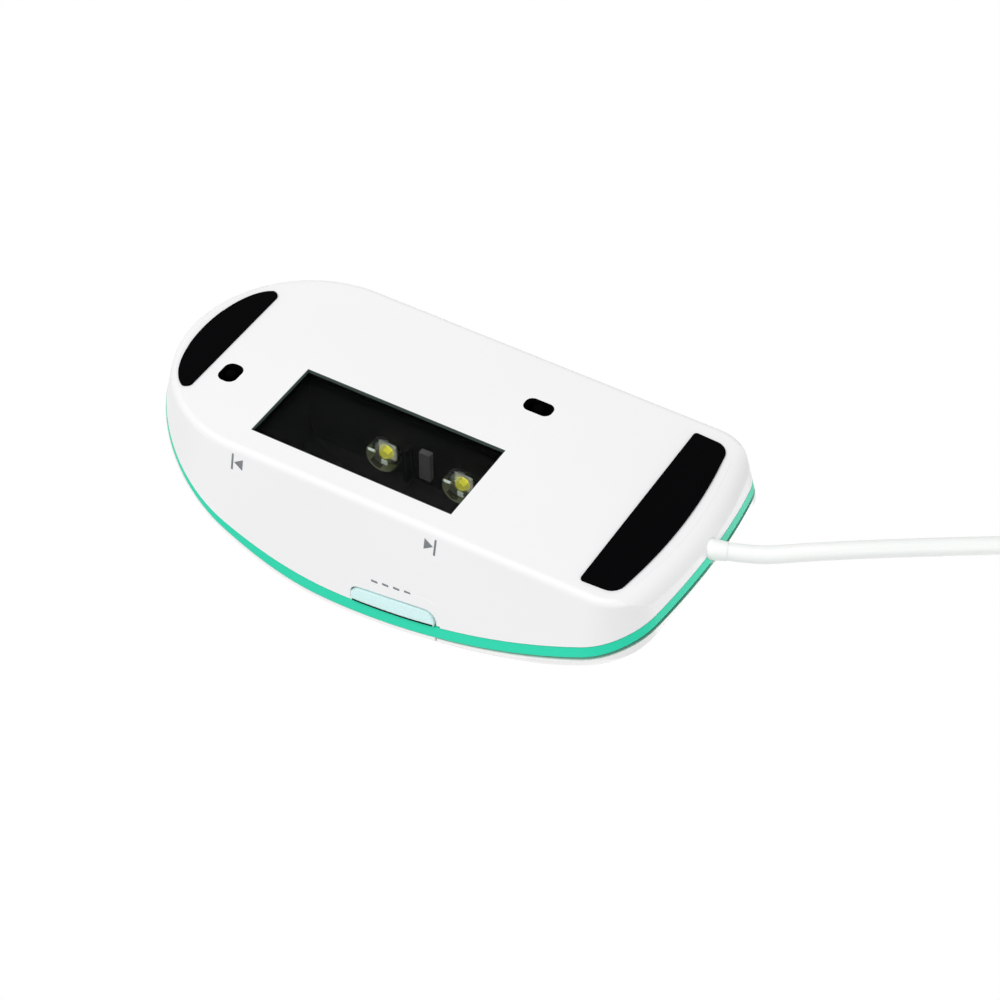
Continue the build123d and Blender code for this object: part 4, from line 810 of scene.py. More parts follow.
def rounded(centre: Spot, width: float, length: float, corner: float) -> list[Spot]:
    """A rounded rectangle's outline, counterclockwise.

    Args:
        centre: The middle.
        width: The size along the first axis.
        length: The size along the second axis.
        corner: The corners' radius.

    Returns:
        The points of the outline.
    """
    points = []
    for side_x, side_y, begin in ((1, 1, 0), (-1, 1, 90), (-1, -1, 180), (1, -1, 270)):
        x = centre[0] + side_x * (width / 2 - corner)
        y = centre[1] + side_y * (length / 2 - corner)
        for k in range(7):
            turn = math.radians(begin + 15 * k)
            points.append((x + corner * math.cos(turn), y + corner * math.sin(turn)))
    return points


class Grown(Nodes):
    """A Geometry Nodes tree with named sizes, cooked into plain meshes."""

    def __init__(self, name: str, sizes: Sequence[str], counts: Sequence[str] = ()) -> None:
        """Starts a tree.

        Args:
            name: The tree's name.
            sizes: Names of its inputs that are lengths or shares.
            counts: Names of its inputs that are whole numbers.
        """
        super().__init__(bpy.data.node_groups.new(name, "GeometryNodeTree"))
        face = self.group.interface
        for way in ("INPUT", "OUTPUT"):
            face.new_socket("Geometry", in_out=way, socket_type="NodeSocketGeometry")
        self.sockets = {}
        for keys, kind in ((sizes, "NodeSocketFloat"), (counts, "NodeSocketInt")):
            for key in keys:
                made = face.new_socket(key, in_out="INPUT", socket_type=kind)
                self.sockets[key] = made.identifier
        self.start = self.node("NodeGroupInput")
        self.end = self.node("NodeGroupOutput")

    def given(self) -> list[Sock]:
        """The tree's sizes and counts, in the order of their names."""
        return [self.sock(self.start, key) for key in self.sockets]

    def spot(self) -> tuple[Sock, ...]:
        """The place of each point of a mesh, as three values."""
        return self.parts(self.result("GeometryNodeInputPosition"))

    def cube(self, x: Value, y: Value, z: Value, cuts: int = 2) -> Sock:
        """A block of that size, with that many rows of points along X."""
        inputs = {0: self.joined(x, y, z), "Vertices X": cuts}
        return self.result("GeometryNodeMeshCube", inputs)

    def merged(self, *meshes: Sock) -> Sock:
        """The shapes joined into one.

        Args:
            meshes: The shapes.

        Returns:
            All of them as one.
        """
        made = self.node("GeometryNodeJoinGeometry")
        for mesh in meshes:
            self.links.new(mesh.output, made.inputs[0])
        return self.sock(made)

    def moved(self, mesh: Sock, x: Value, y: Value, z: Value) -> Sock:
        """The mesh with its points at those places."""
        inputs = {"Geometry": mesh, "Position": self.joined(x, y, z)}
        return self.result("GeometryNodeSetPosition", inputs)

    def repeated(self, points: Sock, mesh: Sock, turn: Value = 0.0, tilt: Value = 0.0) -> Sock:
        """The mesh at each point.

        Args:
            points: Where the copies stand.
            mesh: What is copied.
            turn: Their turn about the upright axis.
            tilt: Their tilt about X.

        Returns:
            The copies as real meshes.
        """
        inputs = {"Points": points, "Instance": mesh, "Rotation": self.joined(tilt, 0.0, turn)}
        copies = self.result("GeometryNodeInstanceOnPoints", inputs)
        return self.result("GeometryNodeRealizeInstances", {0: copies})

    def close(self, shape: Sock, finish: Finish, turn: Value = 0.0, tilt: Value = 0.0) -> None:
        """Ends the tree with the shape at every point it is given, as real meshes.

        Args:
            shape: What stands at each point.
            finish: What it is made of.
            turn: Its turn about the upright axis.
            tilt: Its tilt about X.
        """
        real = self.repeated(self.sock(self.start), shape, turn, tilt)
        inputs = {"Geometry": real, "Material": material(finish)}
        self.feed(self.end.inputs[0], self.result("GeometryNodeSetMaterial", inputs))

    def cook(
        self, name: str, places: Sequence[Point], turns: Sequence[float], sizes: dict[str, float]
    ) -> bpy.types.Mesh:
        """Runs the tree on a few points.

        Args:
            name: The mesh's name.
            places: Where each copy or row stands.
            turns: Each one's turn about the upright axis, in degrees.
            sizes: The values of the tree's inputs.

        Returns:
            A plain mesh in the shared frame.
        """
        seeds = bpy.data.meshes.new(name + "_places")
        seeds.from_pydata([tuple(p) for p in places], [], [])
        angle = seeds.attributes.new("turn", "FLOAT", "POINT")
        for value, degrees in zip(angle.data, turns):
            value.value = math.radians(degrees)
        holder = placed(name + "_places", seeds)
        grower = holder.modifiers.new("grown", "NODES")
        grower.node_group = self.group
        for key, value in sizes.items():
            grower[self.sockets[key]] = value
        mesh = cooked(holder)
        holder.modifiers.remove(grower)
        bpy.data.objects.remove(holder)
        bpy.data.meshes.remove(seeds)
        mesh.name = name
        return mesh


@dataclass(frozen=True)
class ScrewSet:
    """One node of equal screws, with their places in (x, y) in millimetres."""

    node: str
    places: tuple[Spot, ...]
    head_radius: float
    head_height: float
    shaft_radius: float
    heads_up: bool = True


@dataclass
class CrossScrews:
    """Screws with a bevelled head, a cross recess and a cut thread, that stand for plain ones."""

    case_places: tuple[Spot, ...] = ((15.0, -46.4), (-15.0, -46.4), (9.4, 49.5), (-9.4, 49.5))
    board_places: tuple[Spot, ...] = ((18.2, -23.9), (-18.2, -23.9), (-18.2, 22.33), (18.2, 39.2))
    camera_places: tuple[Spot, ...] = ((10.2, 14.4), (10.2, 1.2))
    sides: int = 24
    pitch: float = 0.9 * MM
    slack: float = 0.02 * MM
    recess_share: float = 0.62
    blade_share: float = 0.2
    bevel_share: float = 0.16
    thread_share: float = 0.08

    def tree(self) -> Grown:
        """The tree of one screw, its head's outer face at the point and its shaft along +Z.

        Returns:
            The tree.
        """
        names = ("Head Radius", "Head Height", "Shaft Radius", "Shaft Length", "Pitch", "Tilt")
        grown = Grown("cross_screw", names, ("Rings",))
        radius, height, thin, length, pitch, tilt, rings = grown.given()
        x, y, z = grown.spot()
        sizes = {"Vertices": self.sides, "Side Segments": 3, "Radius": radius, "Depth": height}
        head = grown.result("GeometryNodeMeshCylinder", sizes)
        rim = 1 - (z < height * -0.4) * self.bevel_share
        head = grown.moved(head, x * rim, y * rim, z + height * 0.5)
        cut = grown.node("GeometryNodeMeshBoolean", {"operation": "DIFFERENCE"}, {0: head})
        long, blade = radius * (2 * self.recess_share), radius * self.blade_share
        for size in ((long, blade), (blade, long)):
            grown.feed(cut.inputs[1], grown.cube(*size, height * 0.9))
        sizes = {"Vertices": 16, "Side Segments": rings, "Radius": thin, "Depth": length}
        shaft = grown.result("GeometryNodeMeshCylinder", sizes)
        turn = z * 2 * math.pi / pitch + grown.maths("ARCTAN2", y, x)
        wave = 1 - self.thread_share + grown.maths("COSINE", turn) * self.thread_share
        shaft = grown.moved(shaft, x * wave, y * wave, z + height + length * 0.5)
        grown.close(grown.merged(grown.sock(cut), shaft), STEEL, tilt=tilt)
        return grown

    def stand_for(self, screws: ScrewSet) -> None:
        """Replaces a node of plain screws.

        Args:
            screws: The node with its screws' places and sizes.
        """
        low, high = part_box(screws.node)
        z = high[2] - self.slack if screws.heads_up else low[2] + self.slack
        length = high[2] - low[2] - screws.head_height - 2 * self.slack
        sizes = {
            "Head Radius": screws.head_radius - self.slack,
            "Head Height": screws.head_height,
            "Shaft Radius": screws.shaft_radius - self.slack,
            "Shaft Length": length,
            "Pitch": self.pitch,
            "Tilt": math.pi if screws.heads_up else 0.0,
            "Rings": int(4 * length / self.pitch),
        }
        name = screws.node + "_cut"
        spots = [(x * MM, y * MM, z) for x, y in screws.places]
        mesh = self.tree().cook(name, spots, [0.0] * len(spots), sizes)
        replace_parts(add_piece(name, mesh, STEEL), screws.node)

    def build(self) -> None:
        """Cuts the screws of the case, the board and the camera."""
        for screws in (
            ScrewSet("shell_screws", self.case_places, 2.4 * MM, 1.5 * MM, 1.3 * MM, heads_up=False),
            ScrewSet("board_screws", self.board_places, 2.2 * MM, 1.2 * MM, 1.0 * MM),
            ScrewSet("camera_screws", self.camera_places, 1.4 * MM, 0.9 * MM, 0.8 * MM),
        ):
            self.stand_for(screws)


@dataclass
class BoardPins:
    """The bent pins of the flat chips, and the small ceramic parts between them."""

    width: float = 0.32 * MM
    thickness: float = 0.14 * MM
    reach: float = 1.0 * MM
    pitch: float = 0.8 * MM
    clearance: float = 0.01 * MM
    chips: tuple[tuple[str, int, bool], ...] = (("image_processor", 12, True), ("memory_chip", 4, False))
    part_size: Point = (1.6 * MM, 0.8 * MM, 0.7 * MM)
    middle_share: float = 0.6
    end_share: float = 0.22
    part_spread: float = 2.5 * MM
    part_rows: tuple[int, int] = (4, 3)
    part_seed: int = 7
    parts_at: Spot = (-8 * MM, 37 * MM)
    part_kinds: tuple[tuple[str, Finish, str], ...] = (
        ("small_parts", CERAMIC, "chip_black"),
        ("small_part_ends", TINNED, "screw_steel"),
    )

    def pin_tree(self) -> Grown:
        """The tree of a row of bent pins that step down to the board.

        Returns:
            The tree.
        """
        grown = Grown("bent_pins", ("Pitch", "Reach", "Width", "Thickness", "Drop"), ("Count",))
        pitch, reach, width, thickness, drop, count = grown.given()
        x, y, z = grown.spot()
        step = grown.steps(x / reach, -0.2, 0.15)
        strip = grown.cube(reach, width, thickness, 7)
        pin = grown.moved(strip, x + reach * 0.5, y, z + drop * (1 - step))
        begin = grown.joined(0.0, pitch * (count - 1) * -0.5, 0.0)
        inputs = {"Count": count, "Start Location": begin, "Offset": grown.joined(0.0, pitch, 0.0)}
        row = grown.repeated(grown.result("GeometryNodeMeshLine", inputs), pin)
        angle = grown.node("GeometryNodeInputNamedAttribute", {"data_type": "FLOAT"}, {"Name": "turn"})
        grown.close(row, TINNED, grown.sock(angle, "Attribute"))
        return grown

    def part_tree(self, ends: bool) -> Grown:
        """The tree of small ceramic parts in a seeded scatter.

        Args:
            ends: Whether it makes their tinned ends, or their bodies.

        Returns:
            The tree.
        """
        name, finish, _ = self.part_kinds[ends]
        grown = Grown(name, ("Length", "Width", "Height", "Spread"), ("Columns", "Rows", "Seed"))
        length, width, height, spread, columns, rows, seed = grown.given()
        x, y, z = grown.spot()
        block = grown.cube(length * (self.end_share if ends else self.middle_share), width, height)
        offset = length * (1 - self.end_share) * 0.5
        spots = (x - offset, x + offset) if ends else (x,)
        block = grown.merged(*(grown.moved(block, spot, y, z + height * 0.5) for spot in spots))
        inputs = {
            "Size X": spread * (columns - 1),
            "Size Y": spread * (rows - 1),
            "Vertices X": columns,
            "Vertices Y": rows,
        }
        grid = grown.result("GeometryNodeMeshGrid", inputs)
        inputs = {"Seed": seed, 4: 0, 5: 1}
        pick = grown.node("FunctionNodeRandomValue", {"data_type": "INT"}, inputs)
        quarter = grown.sock(pick, 2) * (math.pi / 2)
        grown.close(grown.repeated(grid, block, quarter), finish)
        return grown

    def build(self) -> None:
        """Sets the pins round both flat chips and scatters the small parts."""
        for node, count, all_round in self.chips:
            self.set_pins(node, count, all_round)
        for ends in (False, True):
            self.scatter(ends)

    def set_pins(self, node: str, count: int, all_round: bool) -> None:
        """Sets rows of pins along a chip's sides.

        Args:
            node: The chip.
            count: The pins of one row.
            all_round: Whether all four sides have a row, or only two.
        """
        low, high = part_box(node)
        middle = [(a + b) / 2 for a, b in zip(low, high)]
        z = low[2] + self.thickness / 2 + self.clearance
        rows = {0.0: (high[0], middle[1], z), 180.0: (low[0], middle[1], z)}
        if all_round:
            rows |= {90.0: (middle[0], high[1], z), 270.0: (middle[0], low[1], z)}
        sizes = {
            "Pitch": self.pitch,
            "Reach": self.reach,
            "Width": self.width,
            "Thickness": self.thickness,
            "Drop": (high[2] - low[2]) / 2,
            "Count": count,
        }
        mesh = self.pin_tree().cook(node + "_pins", list(rows.values()), list(rows), sizes)
        add_piece(node + "_pins", mesh, TINNED)

    def scatter(self, ends: bool) -> None:
        """Scatters the small parts over the board.

        Args:
            ends: Whether it scatters the tinned ends, or the bodies.
        """
        sizes = dict(zip(("Length", "Width", "Height"), self.part_size))
        sizes |= {"Columns": self.part_rows[0], "Rows": self.part_rows[1]}
        sizes |= {"Spread": self.part_spread, "Seed": self.part_seed}
        name, finish, slot = self.part_kinds[ends]
        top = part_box("main_board")[1][2]
        mesh = self.part_tree(ends).cook(name, [(*self.parts_at, top)], [0.0], sizes)
        add_piece(name, mesh, finish)


@dataclass
class GlidePads:
    """Both glide pads, with outlines in millimetres, each on a thin seat that closes its recess."""

    rear_middle: Spot = (1.0, 46.07)
    rear_half: float = 15.9
    rear_depth: float = 7.29
    rear_corner: float = 1.5
    rear_margin: float = 1.3 * MM
    front_middle: float = 0.45
    front_inner: float = -41.9
    front_outer: float = -51.23
    front_half: float = 21.7
    front_bow: float = 105.0
    front_reach: float = 17.6
    front_notch: Spot = (0.6, 0.18)
    end_middle: Spot = (18.5, -46.6)
    end_radius: float = 3.0
    front_margin: float = 0.4 * MM
    seat_low: float = 0.385 * MM
    seat_high: float = 0.6 * MM
    height: float = 0.5 * MM
    edge: float = 0.12 * MM

    def rear(self) -> list[Spot]:
        """The rear pad's outline: half an oval over a straight edge with round ends.

        Returns:
            The corners in (x, y), in metres.
        """
        (x, y), half, deep, corner = self.rear_middle, self.rear_half, self.rear_depth, self.rear_corner
        first = math.asin(corner / deep)
        points = []
        for k in range(41):
            turn = first + (math.pi - 2 * first) * k / 40
            points.append((x + half * math.cos(turn), y + deep * math.sin(turn)))
        edge = half * math.cos(first) - corner
        for side, begin in ((-1, 180), (1, 270)):
            for k in range(1, 9):
                turn = math.radians(begin + 90 * k / 8)
                across = x + side * edge + corner * math.cos(turn)
                points.append((across, y + corner * (1 + math.sin(turn))))
        return [(a * MM, b * MM) for a, b in points]

    def front(self) -> list[Spot]:
        """The front pad's outline: a straight inner edge, round ends and a bowed front.

        Returns:
            The corners in (x, y), in metres.
        """
        inner, outer, half = self.front_inner, self.front_outer, self.front_half
        deep, shallow = self.front_notch
        right = [(half - deep, inner), (half - shallow, inner - shallow), (half, inner - deep)]
        for k in range(9):
            turn = math.radians(-10.0 * k)
            arm = (self.end_radius * math.cos(turn), self.end_radius * math.sin(turn))
            right.append(tuple(a + b for a, b in zip(self.end_middle, arm)))
        for k in range(9):
            reach = self.front_reach * (1 - k / 9)
            right.append((reach, outer + reach**2 / (2 * self.front_bow)))
        left = [(-a, b) for a, b in reversed(right)]
        loop = [*right, (0.0, outer), *left]
        return [((a + self.front_middle) * MM, b * MM) for a, b in reversed(loop)]

    def build(self) -> None:
        """Lays both pads, each on its seat."""
        for node, outline, margin in (
            ("front_foot", self.front(), self.front_margin),
            ("rear_foot", self.rear(), self.rear_margin),
        ):
            seat = flat_pad(node + "_seat", hull_of(node, margin), self.seat_low, self.seat_high)
            add_piece(node + "_seat", seat, SHELL)
            pad = flat_pad(node + "_pad", outline, 0.0, self.height, self.edge)
            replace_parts(add_piece(node + "_pad", pad, FOOT), node)


@dataclass
class Housing:
    """The white case, its coloured band, the palm cover, both keys, the pads and the prints."""

    dressed: dict[str, Finish] = finishes(
        bottom_shell=SHELL,
        accent_band=BAND,
        palm_cover=COVER,
        left_button=COVER,
        right_button=COVER,
        key_frame=INNER_GREY,
    )
    window_middle: Spot = (10.2 * MM, 7.8 * MM)
    window_half: Spot = (9.65 * MM, 21.8 * MM)
    # each tracking slot's painted shade sleeve: name, middle, width, length and corner radius
    slots: tuple[tuple[str, Spot, float, float, float], ...] = (
        ("front_slot_painted_shade", (-12.6 * MM, -13.4 * MM), 3.6 * MM, 6.0 * MM, 1.51 * MM),
        ("rear_slot_painted_shade", (8.9 * MM, 41.7 * MM), 5.1 * MM, 4.0 * MM, 1.68 * MM),
    )
    shade_sleeve_low: float = 0.42 * MM
    window_top: float = 1.19 * MM
    slot_top: float = 2.2 * MM
    ink: float = 0.02 * MM
    marks: tuple[tuple[str, float, float], ...] = (
        ("rear_end_mark", 29.8 * MM, 1.0),
        ("front_end_mark", -14.2 * MM, -1.0),
    )
    mark_level: float = 3.6 * MM
    mark_height: float = 3.4 * MM
    bar_width: float = 0.42 * MM
    arrow_length: float = 1.9 * MM
    arrow_height: float = 2.3 * MM
    dash: Spot = (1.35 * MM, 0.42 * MM)
    dash_places: tuple[float, ...] = (-2.6, -4.95, -7.3, -9.65)
    dash_middle: Spot = (-6.1 * MM, 15.75 * MM)
    dash_slope: float = 0.1

    def build(self) -> None:
        """Dresses the case, lays its pads and prints its marks."""
        dress(self.dressed)
        self.shade_openings()
        GlidePads().build()
        self.print_marks()
        self.print_dashes()

    def printed(self, name: str, shapes: Sequence[Sequence[Spot]]) -> None:
        """Lays flat shapes on the thumb wall as one thin print.

        Args:
            name: The piece's name.
            shapes: Closed outlines in (y, z).
        """
        wall = tree_of("bottom_shell")
        made = bmesh.new()
        for shape in shapes:
            hits = [struck(wall, y, z) for y, z in shape]
            made.faces.new([made.verts.new(hit + normal * self.ink) for hit, normal in hits])
        add_piece(name, mesh_of(name, made, TO_THUMB), INK)

    def bar(self, y: float, z: float, width: float, height: float) -> list[Spot]:
        """An upright bar round a middle point, in (y, z)."""
        corners = ((-0.5, -0.5), (0.5, -0.5), (0.5, 0.5), (-0.5, 0.5))
        return [(y + a * width, z + b * height) for a, b in corners]

    def arrow(self, tip_y: float, z: float, way: float) -> list[Spot]:
        """An arrow head whose tip points along way, in (y, z)."""
        back = tip_y - way * self.arrow_length
        return [(tip_y, z), (back, z + self.arrow_height / 2), (back, z - self.arrow_height / 2)]

    def shade_openings(self) -> None:
        """Painted shade: dark sleeves over the walls of the scan window's opening and of both tracking
        slots.
        """
        (x, y), (half_x, half_y) = self.window_middle, self.window_half
        corners = ((1, 1), (-1, 1), (-1, -1), (1, -1))
        window = [(x + a * half_x, y + b * half_y) for a, b in corners]
        shade_sleeve("window_painted_shade", window, self.shade_sleeve_low, self.window_top, OPENING_SHADE)
        for name, centre, width, length, corner in self.slots:
            outline = rounded(centre, width, length, corner)
            shade_sleeve(name, outline, self.shade_sleeve_low, self.slot_top, PAINTED_SHADE_BLACK)

    def print_dashes(self) -> None:
        """Four plain dashes on the wall beside the scan key, where a word could stand."""
        shapes = []
        for place in self.dash_places:
            y = place * MM
            z = self.dash_middle[1] + (y - self.dash_middle[0]) * self.dash_slope
            shapes.append(self.bar(y, z, *self.dash))
        self.printed("scan_dashes", shapes)

    def print_marks(self) -> None:
        """The two end marks of the scan window."""
        for name, y, way in self.marks:
            inner = y - way * self.bar_width * 0.9
            bar = self.bar(y, self.mark_level, self.bar_width, self.mark_height)
            self.printed(name, [bar, self.arrow(inner, self.mark_level, way)])


@dataclass
class ScanWindow:
    """The glass, the dark box, the lamps, and the camera that looks down through them."""

    dressed: dict[str, Finish] = finishes(
        window_glass=PANE,
        light_box=INNER_BLACK,
        lamp_board=UPRIGHT_BOARD,
        lamps=PACKAGE,
        lamp_domes=PHOSPHOR,
        lamp_lenses=CLEAR,
        camera_barrel=INNER_BLACK,
        camera_lens=LENS,
        camera_holder=INNER_BLACK,
        camera_chip=CHIP,
        camera_board=BOARD,
        camera_ribbon=FLEX,
        ribbon_socket=SOCKET,
    )
    bar_ends: tuple[Point, Point] = ((1.3 * MM, -1.9 * MM, -4.6 * MM), (2.6 * MM, 0.5 * MM, 2.1 * MM))
    lamp_reach: float = 8.5 * MM
    # offset from the board face and size of each painted glint block, in millimetres
    glint_spots: tuple[tuple[Point, Point], ...] = (
        ((2.6, 2.7, 0.0), (0.24, 1.5, 0.5)),
        ((2.9, -0.3, 1.5), (0.24, 1.2, 1.1)),
    )

    def build(self) -> None:
        """Dresses the scanning parts, adds a grey cover on the bar between the lamps and lays bright
        glowing blocks beside each lamp as painted glints.
        """
        dress(self.dressed)
        low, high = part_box("lamp_board")
        face = Vector((high[0], (low[1] + high[1]) / 2, (low[2] + high[2]) / 2))
        # a grey sheet over the bar between the lamps, lightened with painted glow
        bar = blocks("lamp_bar_cover", [tuple(face + Vector(end) for end in self.bar_ends)])
        add_piece("lamp_bar_cover", bar, GREY_BAR)
        # painted glints: two bright glowing blocks by each lamp, where its clear cap would catch the light
        spans = []
        for side in (self.lamp_reach, -self.lamp_reach):
            for spot, size in self.glint_spots:
                middle = face + Vector((0.0, side, 0.0)) + Vector(spot) * MM
                half = Vector(size) * MM / 2
                spans.append((middle - half, middle + half))
        add_piece("painted_glint_blocks", blocks("painted_glint_blocks", spans), PAINTED_GLINT)


@dataclass
class Electronics:
    """The main board with its chips and switches, the tracking sensors and the scan switch."""

    dressed: dict[str, Finish] = finishes(
        main_board=BOARD,
        image_processor=CHIP,
        memory_chip=CHIP,
        timing_crystal=CAN,
        wheel_emitter=CLEAR,
        wheel_detector=CHIP,
        wheel_switch=SWITCH,
        left_switch=SWITCH,
        right_switch=SWITCH,
        front_tracker=CHIP,
        rear_tracker=CHIP,
        front_tracker_lens=SENSOR_LENS_SHADE,
        rear_tracker_lens=SENSOR_LENS_SHADE,
        tracker_lamps=RED_CLEAR,
        scan_board=UPRIGHT_BOARD,
        scan_switch=SWITCH,
        scan_light=PACKAGE,
        cable_socket=SOCKET,
        inner_lead=VINYL,
    )

    def build(self) -> None:
        """Dresses the boards."""
        dress(self.dressed)


@dataclass
class ScrollWheel:
    """The wheel with its tyre, in its carrier."""

    dressed: dict[str, Finish] = finishes(wheel_tyre=TYRE, wheel_hub=HUB_GREY, wheel_carrier=INNER_GREY)

    def build(self) -> None:
        """Dresses the wheel."""
        dress(self.dressed)


@dataclass
class ScanButton:
    """The aqua key in the thumb wall with a painted shadow line along its upper edge, and the white trim
    round it.
    """

    middle: Spot = (-6.85 * MM, 21.36 * MM)
    slope: float = 5.8
    length: float = 18.4 * MM
    depth: float = 3.0 * MM
    corner: float = 2.3 * MM
    gap: float = 0.12 * MM
    recess: float = 0.36 * MM
    line: float = 0.3 * MM
    line_lift: float = 0.05 * MM
    line_steps: int = 32
    line_share: float = 0.97
    search_from: float = 3.0 * MM
    search_to: float = -1.4 * MM
    search_step: float = 0.04 * MM
    face_level: float = -1.5 * MM
    rounding: float = 0.9 * MM
    inner_x: float = 18 * MM
    outer_x: float = 40 * MM
    trim_growth: Spot = (0.35 / 9.4, 0.35 / 5.2)

    def prism(self, grow: float) -> bpy.types.Mesh:
        """The key's outline drawn out along X.

        Args:
            grow: How much larger the outline is than the key.

        Returns:
            The solid that the key is cut with.
        """
        width, height = self.length + 2 * grow, 2 * (self.depth + grow)
        turn = math.radians(self.slope)
        corners = []
        for a, b in rounded((0.0, 0.0), width, height, self.corner + grow):
            y = self.middle[0] + a * math.cos(turn) - b * math.sin(turn)
            z = self.middle[1] + a * math.sin(turn) + b * math.cos(turn)
            corners.append((self.inner_x, y, z))
        made = bmesh.new()
        draw_out(made, corners, 0, self.outer_x)
        return mesh_of("key_outline", made)

    def gap_shadow_line(self) -> bpy.types.Mesh:
        """A painted shadow line along the key's upper edge, where the gap to the band would be in shade.

        Returns:
            A strip that lies on the key's face.
        """
        face = tree_of("scan_button")
        made = bmesh.new()
        pairs = []
        for k in range(self.line_steps + 1):
            y = self.middle[0] + self.length * (k / self.line_steps - 0.5) * self.line_share
            level = self.middle[1] + (y - self.middle[0]) * math.tan(math.radians(self.slope))
            front = struck(face, y, level + self.face_level)[0]
            if front is None:
                continue
            z = level + self.search_from
            while z > level + self.search_to:
                hit = struck(face, y, z)[0]
                if hit is not None and abs(hit.x - front.x) < self.rounding:
                    break
                z -= self.search_step
            hits = [struck(face, y, z - drop) for drop in (0.0, self.line)]
            if all(hit is not None for hit, _ in hits):
                pairs.append([made.verts.new(hit + normal * self.line_lift) for hit, normal in hits])
        for (a, b), (c, d) in zip(pairs, pairs[1:]):
            made.faces.new((a, b, d, c))
        return mesh_of("scan_key_painted_shadow", made, TO_THUMB)

    def build(self) -> None:
        """Cuts the key and its trim from the part in the wall."""
        whole = part_mesh("scan_button")
        key = carved("scan_key", whole, self.prism(0.0), "INTERSECT")
        piece = add_piece("scan_key", key, AQUA, "scan_button")
        # painted shadow: a near-black strip on the key where its gap to the band falls in shade
        add_piece("scan_key_painted_shadow", self.gap_shadow_line(), PAINTED_SHADE_BLACK, "scan_button")
        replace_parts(piece, "scan_button")
        trim = carved("scan_key_trim", whole, self.prism(self.gap), "DIFFERENCE")
        low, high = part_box("scan_button")
        centre = ((low[1] + high[1]) / 2, self.middle[1])
        for v in trim.vertices:
            v.co.x -= self.recess
            for axis, (middle, growth) in enumerate(zip(centre, self.trim_growth), 1):
                v.co[axis] = middle + (v.co[axis] - middle) * (1 + growth)
        add_piece("scan_key_trim", trim, SHELL)


@dataclass
class Lead:
    """The lead from the gland, its coil with the tie, and the plug."""

    diameter: float = 3.4 * MM
    length: float = 1421 * MM
    turned: float = 148.7
    middle: Point = (-19.5 * MM, -139.0 * MM, 0.0)
    outer_radius: float = 24.4 * MM
    pitch: float = 4.4 * MM
    layers: int = 4
    flat_turns: int = 5
    last_turns: int = 4
    lowest: float = 2.95 * MM
    points_per_half: int = 12
    fineness: int = 5
    run_in: tuple[Point, ...] = (
        (-0.889, -59.609, 4.4),
        (-2.941, -65.248, 4.4),
        (-5.2, -70.4, 3.0),
        (-9.0, -77.9, 1.7),
        (-16.0, -88.4, 1.7),
        (-27.5, -106.3, 1.7),
        (-34.426, -116.583, 2.95),
        (-38.582, -123.419, 2.95),
    )
    run_out: tuple[Point, ...] = (
        (-40.235, -130.372, 16.15),
        (-46.47, -140.625, 16.15),
        (-49.0, -154.6, 10.2),
        (-46.2, -167.2, 4.6),
        (-38.848, -177.664, 3.9),
        (-29.0, -179.4, 3.9),
    )
    dressed: dict[str, Finish] = finishes(
        cable_gland=VINYL,
        coil_tie=TIE,
        plug_body=PLUG_WHITE,
        plug_shell=PLATED,
        plug_tongue=TONGUE,
        plug_contacts=GOLD,
    )

    def joints(self) -> list[Vector]:
        """The ends of the half turns of the coil, alternately on its two sides.

        Returns:
            The places, from the coil's start to its end.
        """
        radius = self.outer_radius
        height = self.lowest
        spans = [(radius, height)]
        for layer in range(self.layers):
            step = self.pitch / 2 * (-1 if layer % 2 == 0 else 1)
            last = layer == self.layers - 1
            for _ in range(self.last_turns if last else self.flat_turns):
                radius += step
                spans.append((radius, height))
            if not last:
                height += self.pitch
                spans.append((radius, height))
        turn = math.radians(self.turned)
        out = Vector((math.cos(turn), math.sin(turn), 0))
        places = []
        for i, (reach, z) in enumerate(spans):
            side = 1 if i % 2 == 0 else -1
            places.append(Vector(self.middle) + out * (side * reach) + Vector((0, 0, z)))
        return places

    def turns(self) -> list[Vector]:
        """The coil's own points, along half circles between its joints.

        Returns:
            The points, in order.
        """
        places = self.joints()
        # the smooth curve runs inside its points, so they stand a little further out
        grow = 1 / (0.75 + 0.25 * math.cos(math.pi / self.points_per_half))
        points = [places[0]]
        for start, end in zip(places, places[1:]):
            middle = (start + end) / 2
            arm = Vector((start.x - middle.x, start.y - middle.y, 0)) * grow
            for k in range(1, self.points_per_half + 1):
                share = k / self.points_per_half
                turned = Matrix.Rotation(math.pi * share, 3, "Z") @ arm
                climb = (1 - math.cos(math.pi * share)) / 2
                z = start.z + (end.z - start.z) * climb
                points.append(Vector((middle.x + turned.x, middle.y + turned.y, z)))
        return points

    def build(self) -> None:
        """Lays the lead and dresses what is on it."""
        first, last = ([Vector(p) * MM for p in run] for run in (self.run_in, self.run_out))
        line = [*first, *self.turns(), *last]
        curve = bpy.data.curves.new("lead", "CURVE")
        curve.dimensions = "3D"
        curve.bevel_depth = self.diameter / 2
        curve.bevel_resolution = curve.resolution_u = self.fineness
        curve.use_fill_caps = True
        spline = curve.splines.new("NURBS")
        spline.points.add(len(line) - 1)
        for point, place in zip(spline.points, line):
            point.co = (*place, 1.0)
        spline.order_u = 3
        spline.use_endpoint_u = True
        curve.materials.append(material(VINYL))
        piece = placed("lead", curve)
        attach(piece, "body")
        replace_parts(piece, "cord", "cord_coil", "cord_tail")
        dress(self.dressed)
        log.info("laid the lead on %d points", len(line))


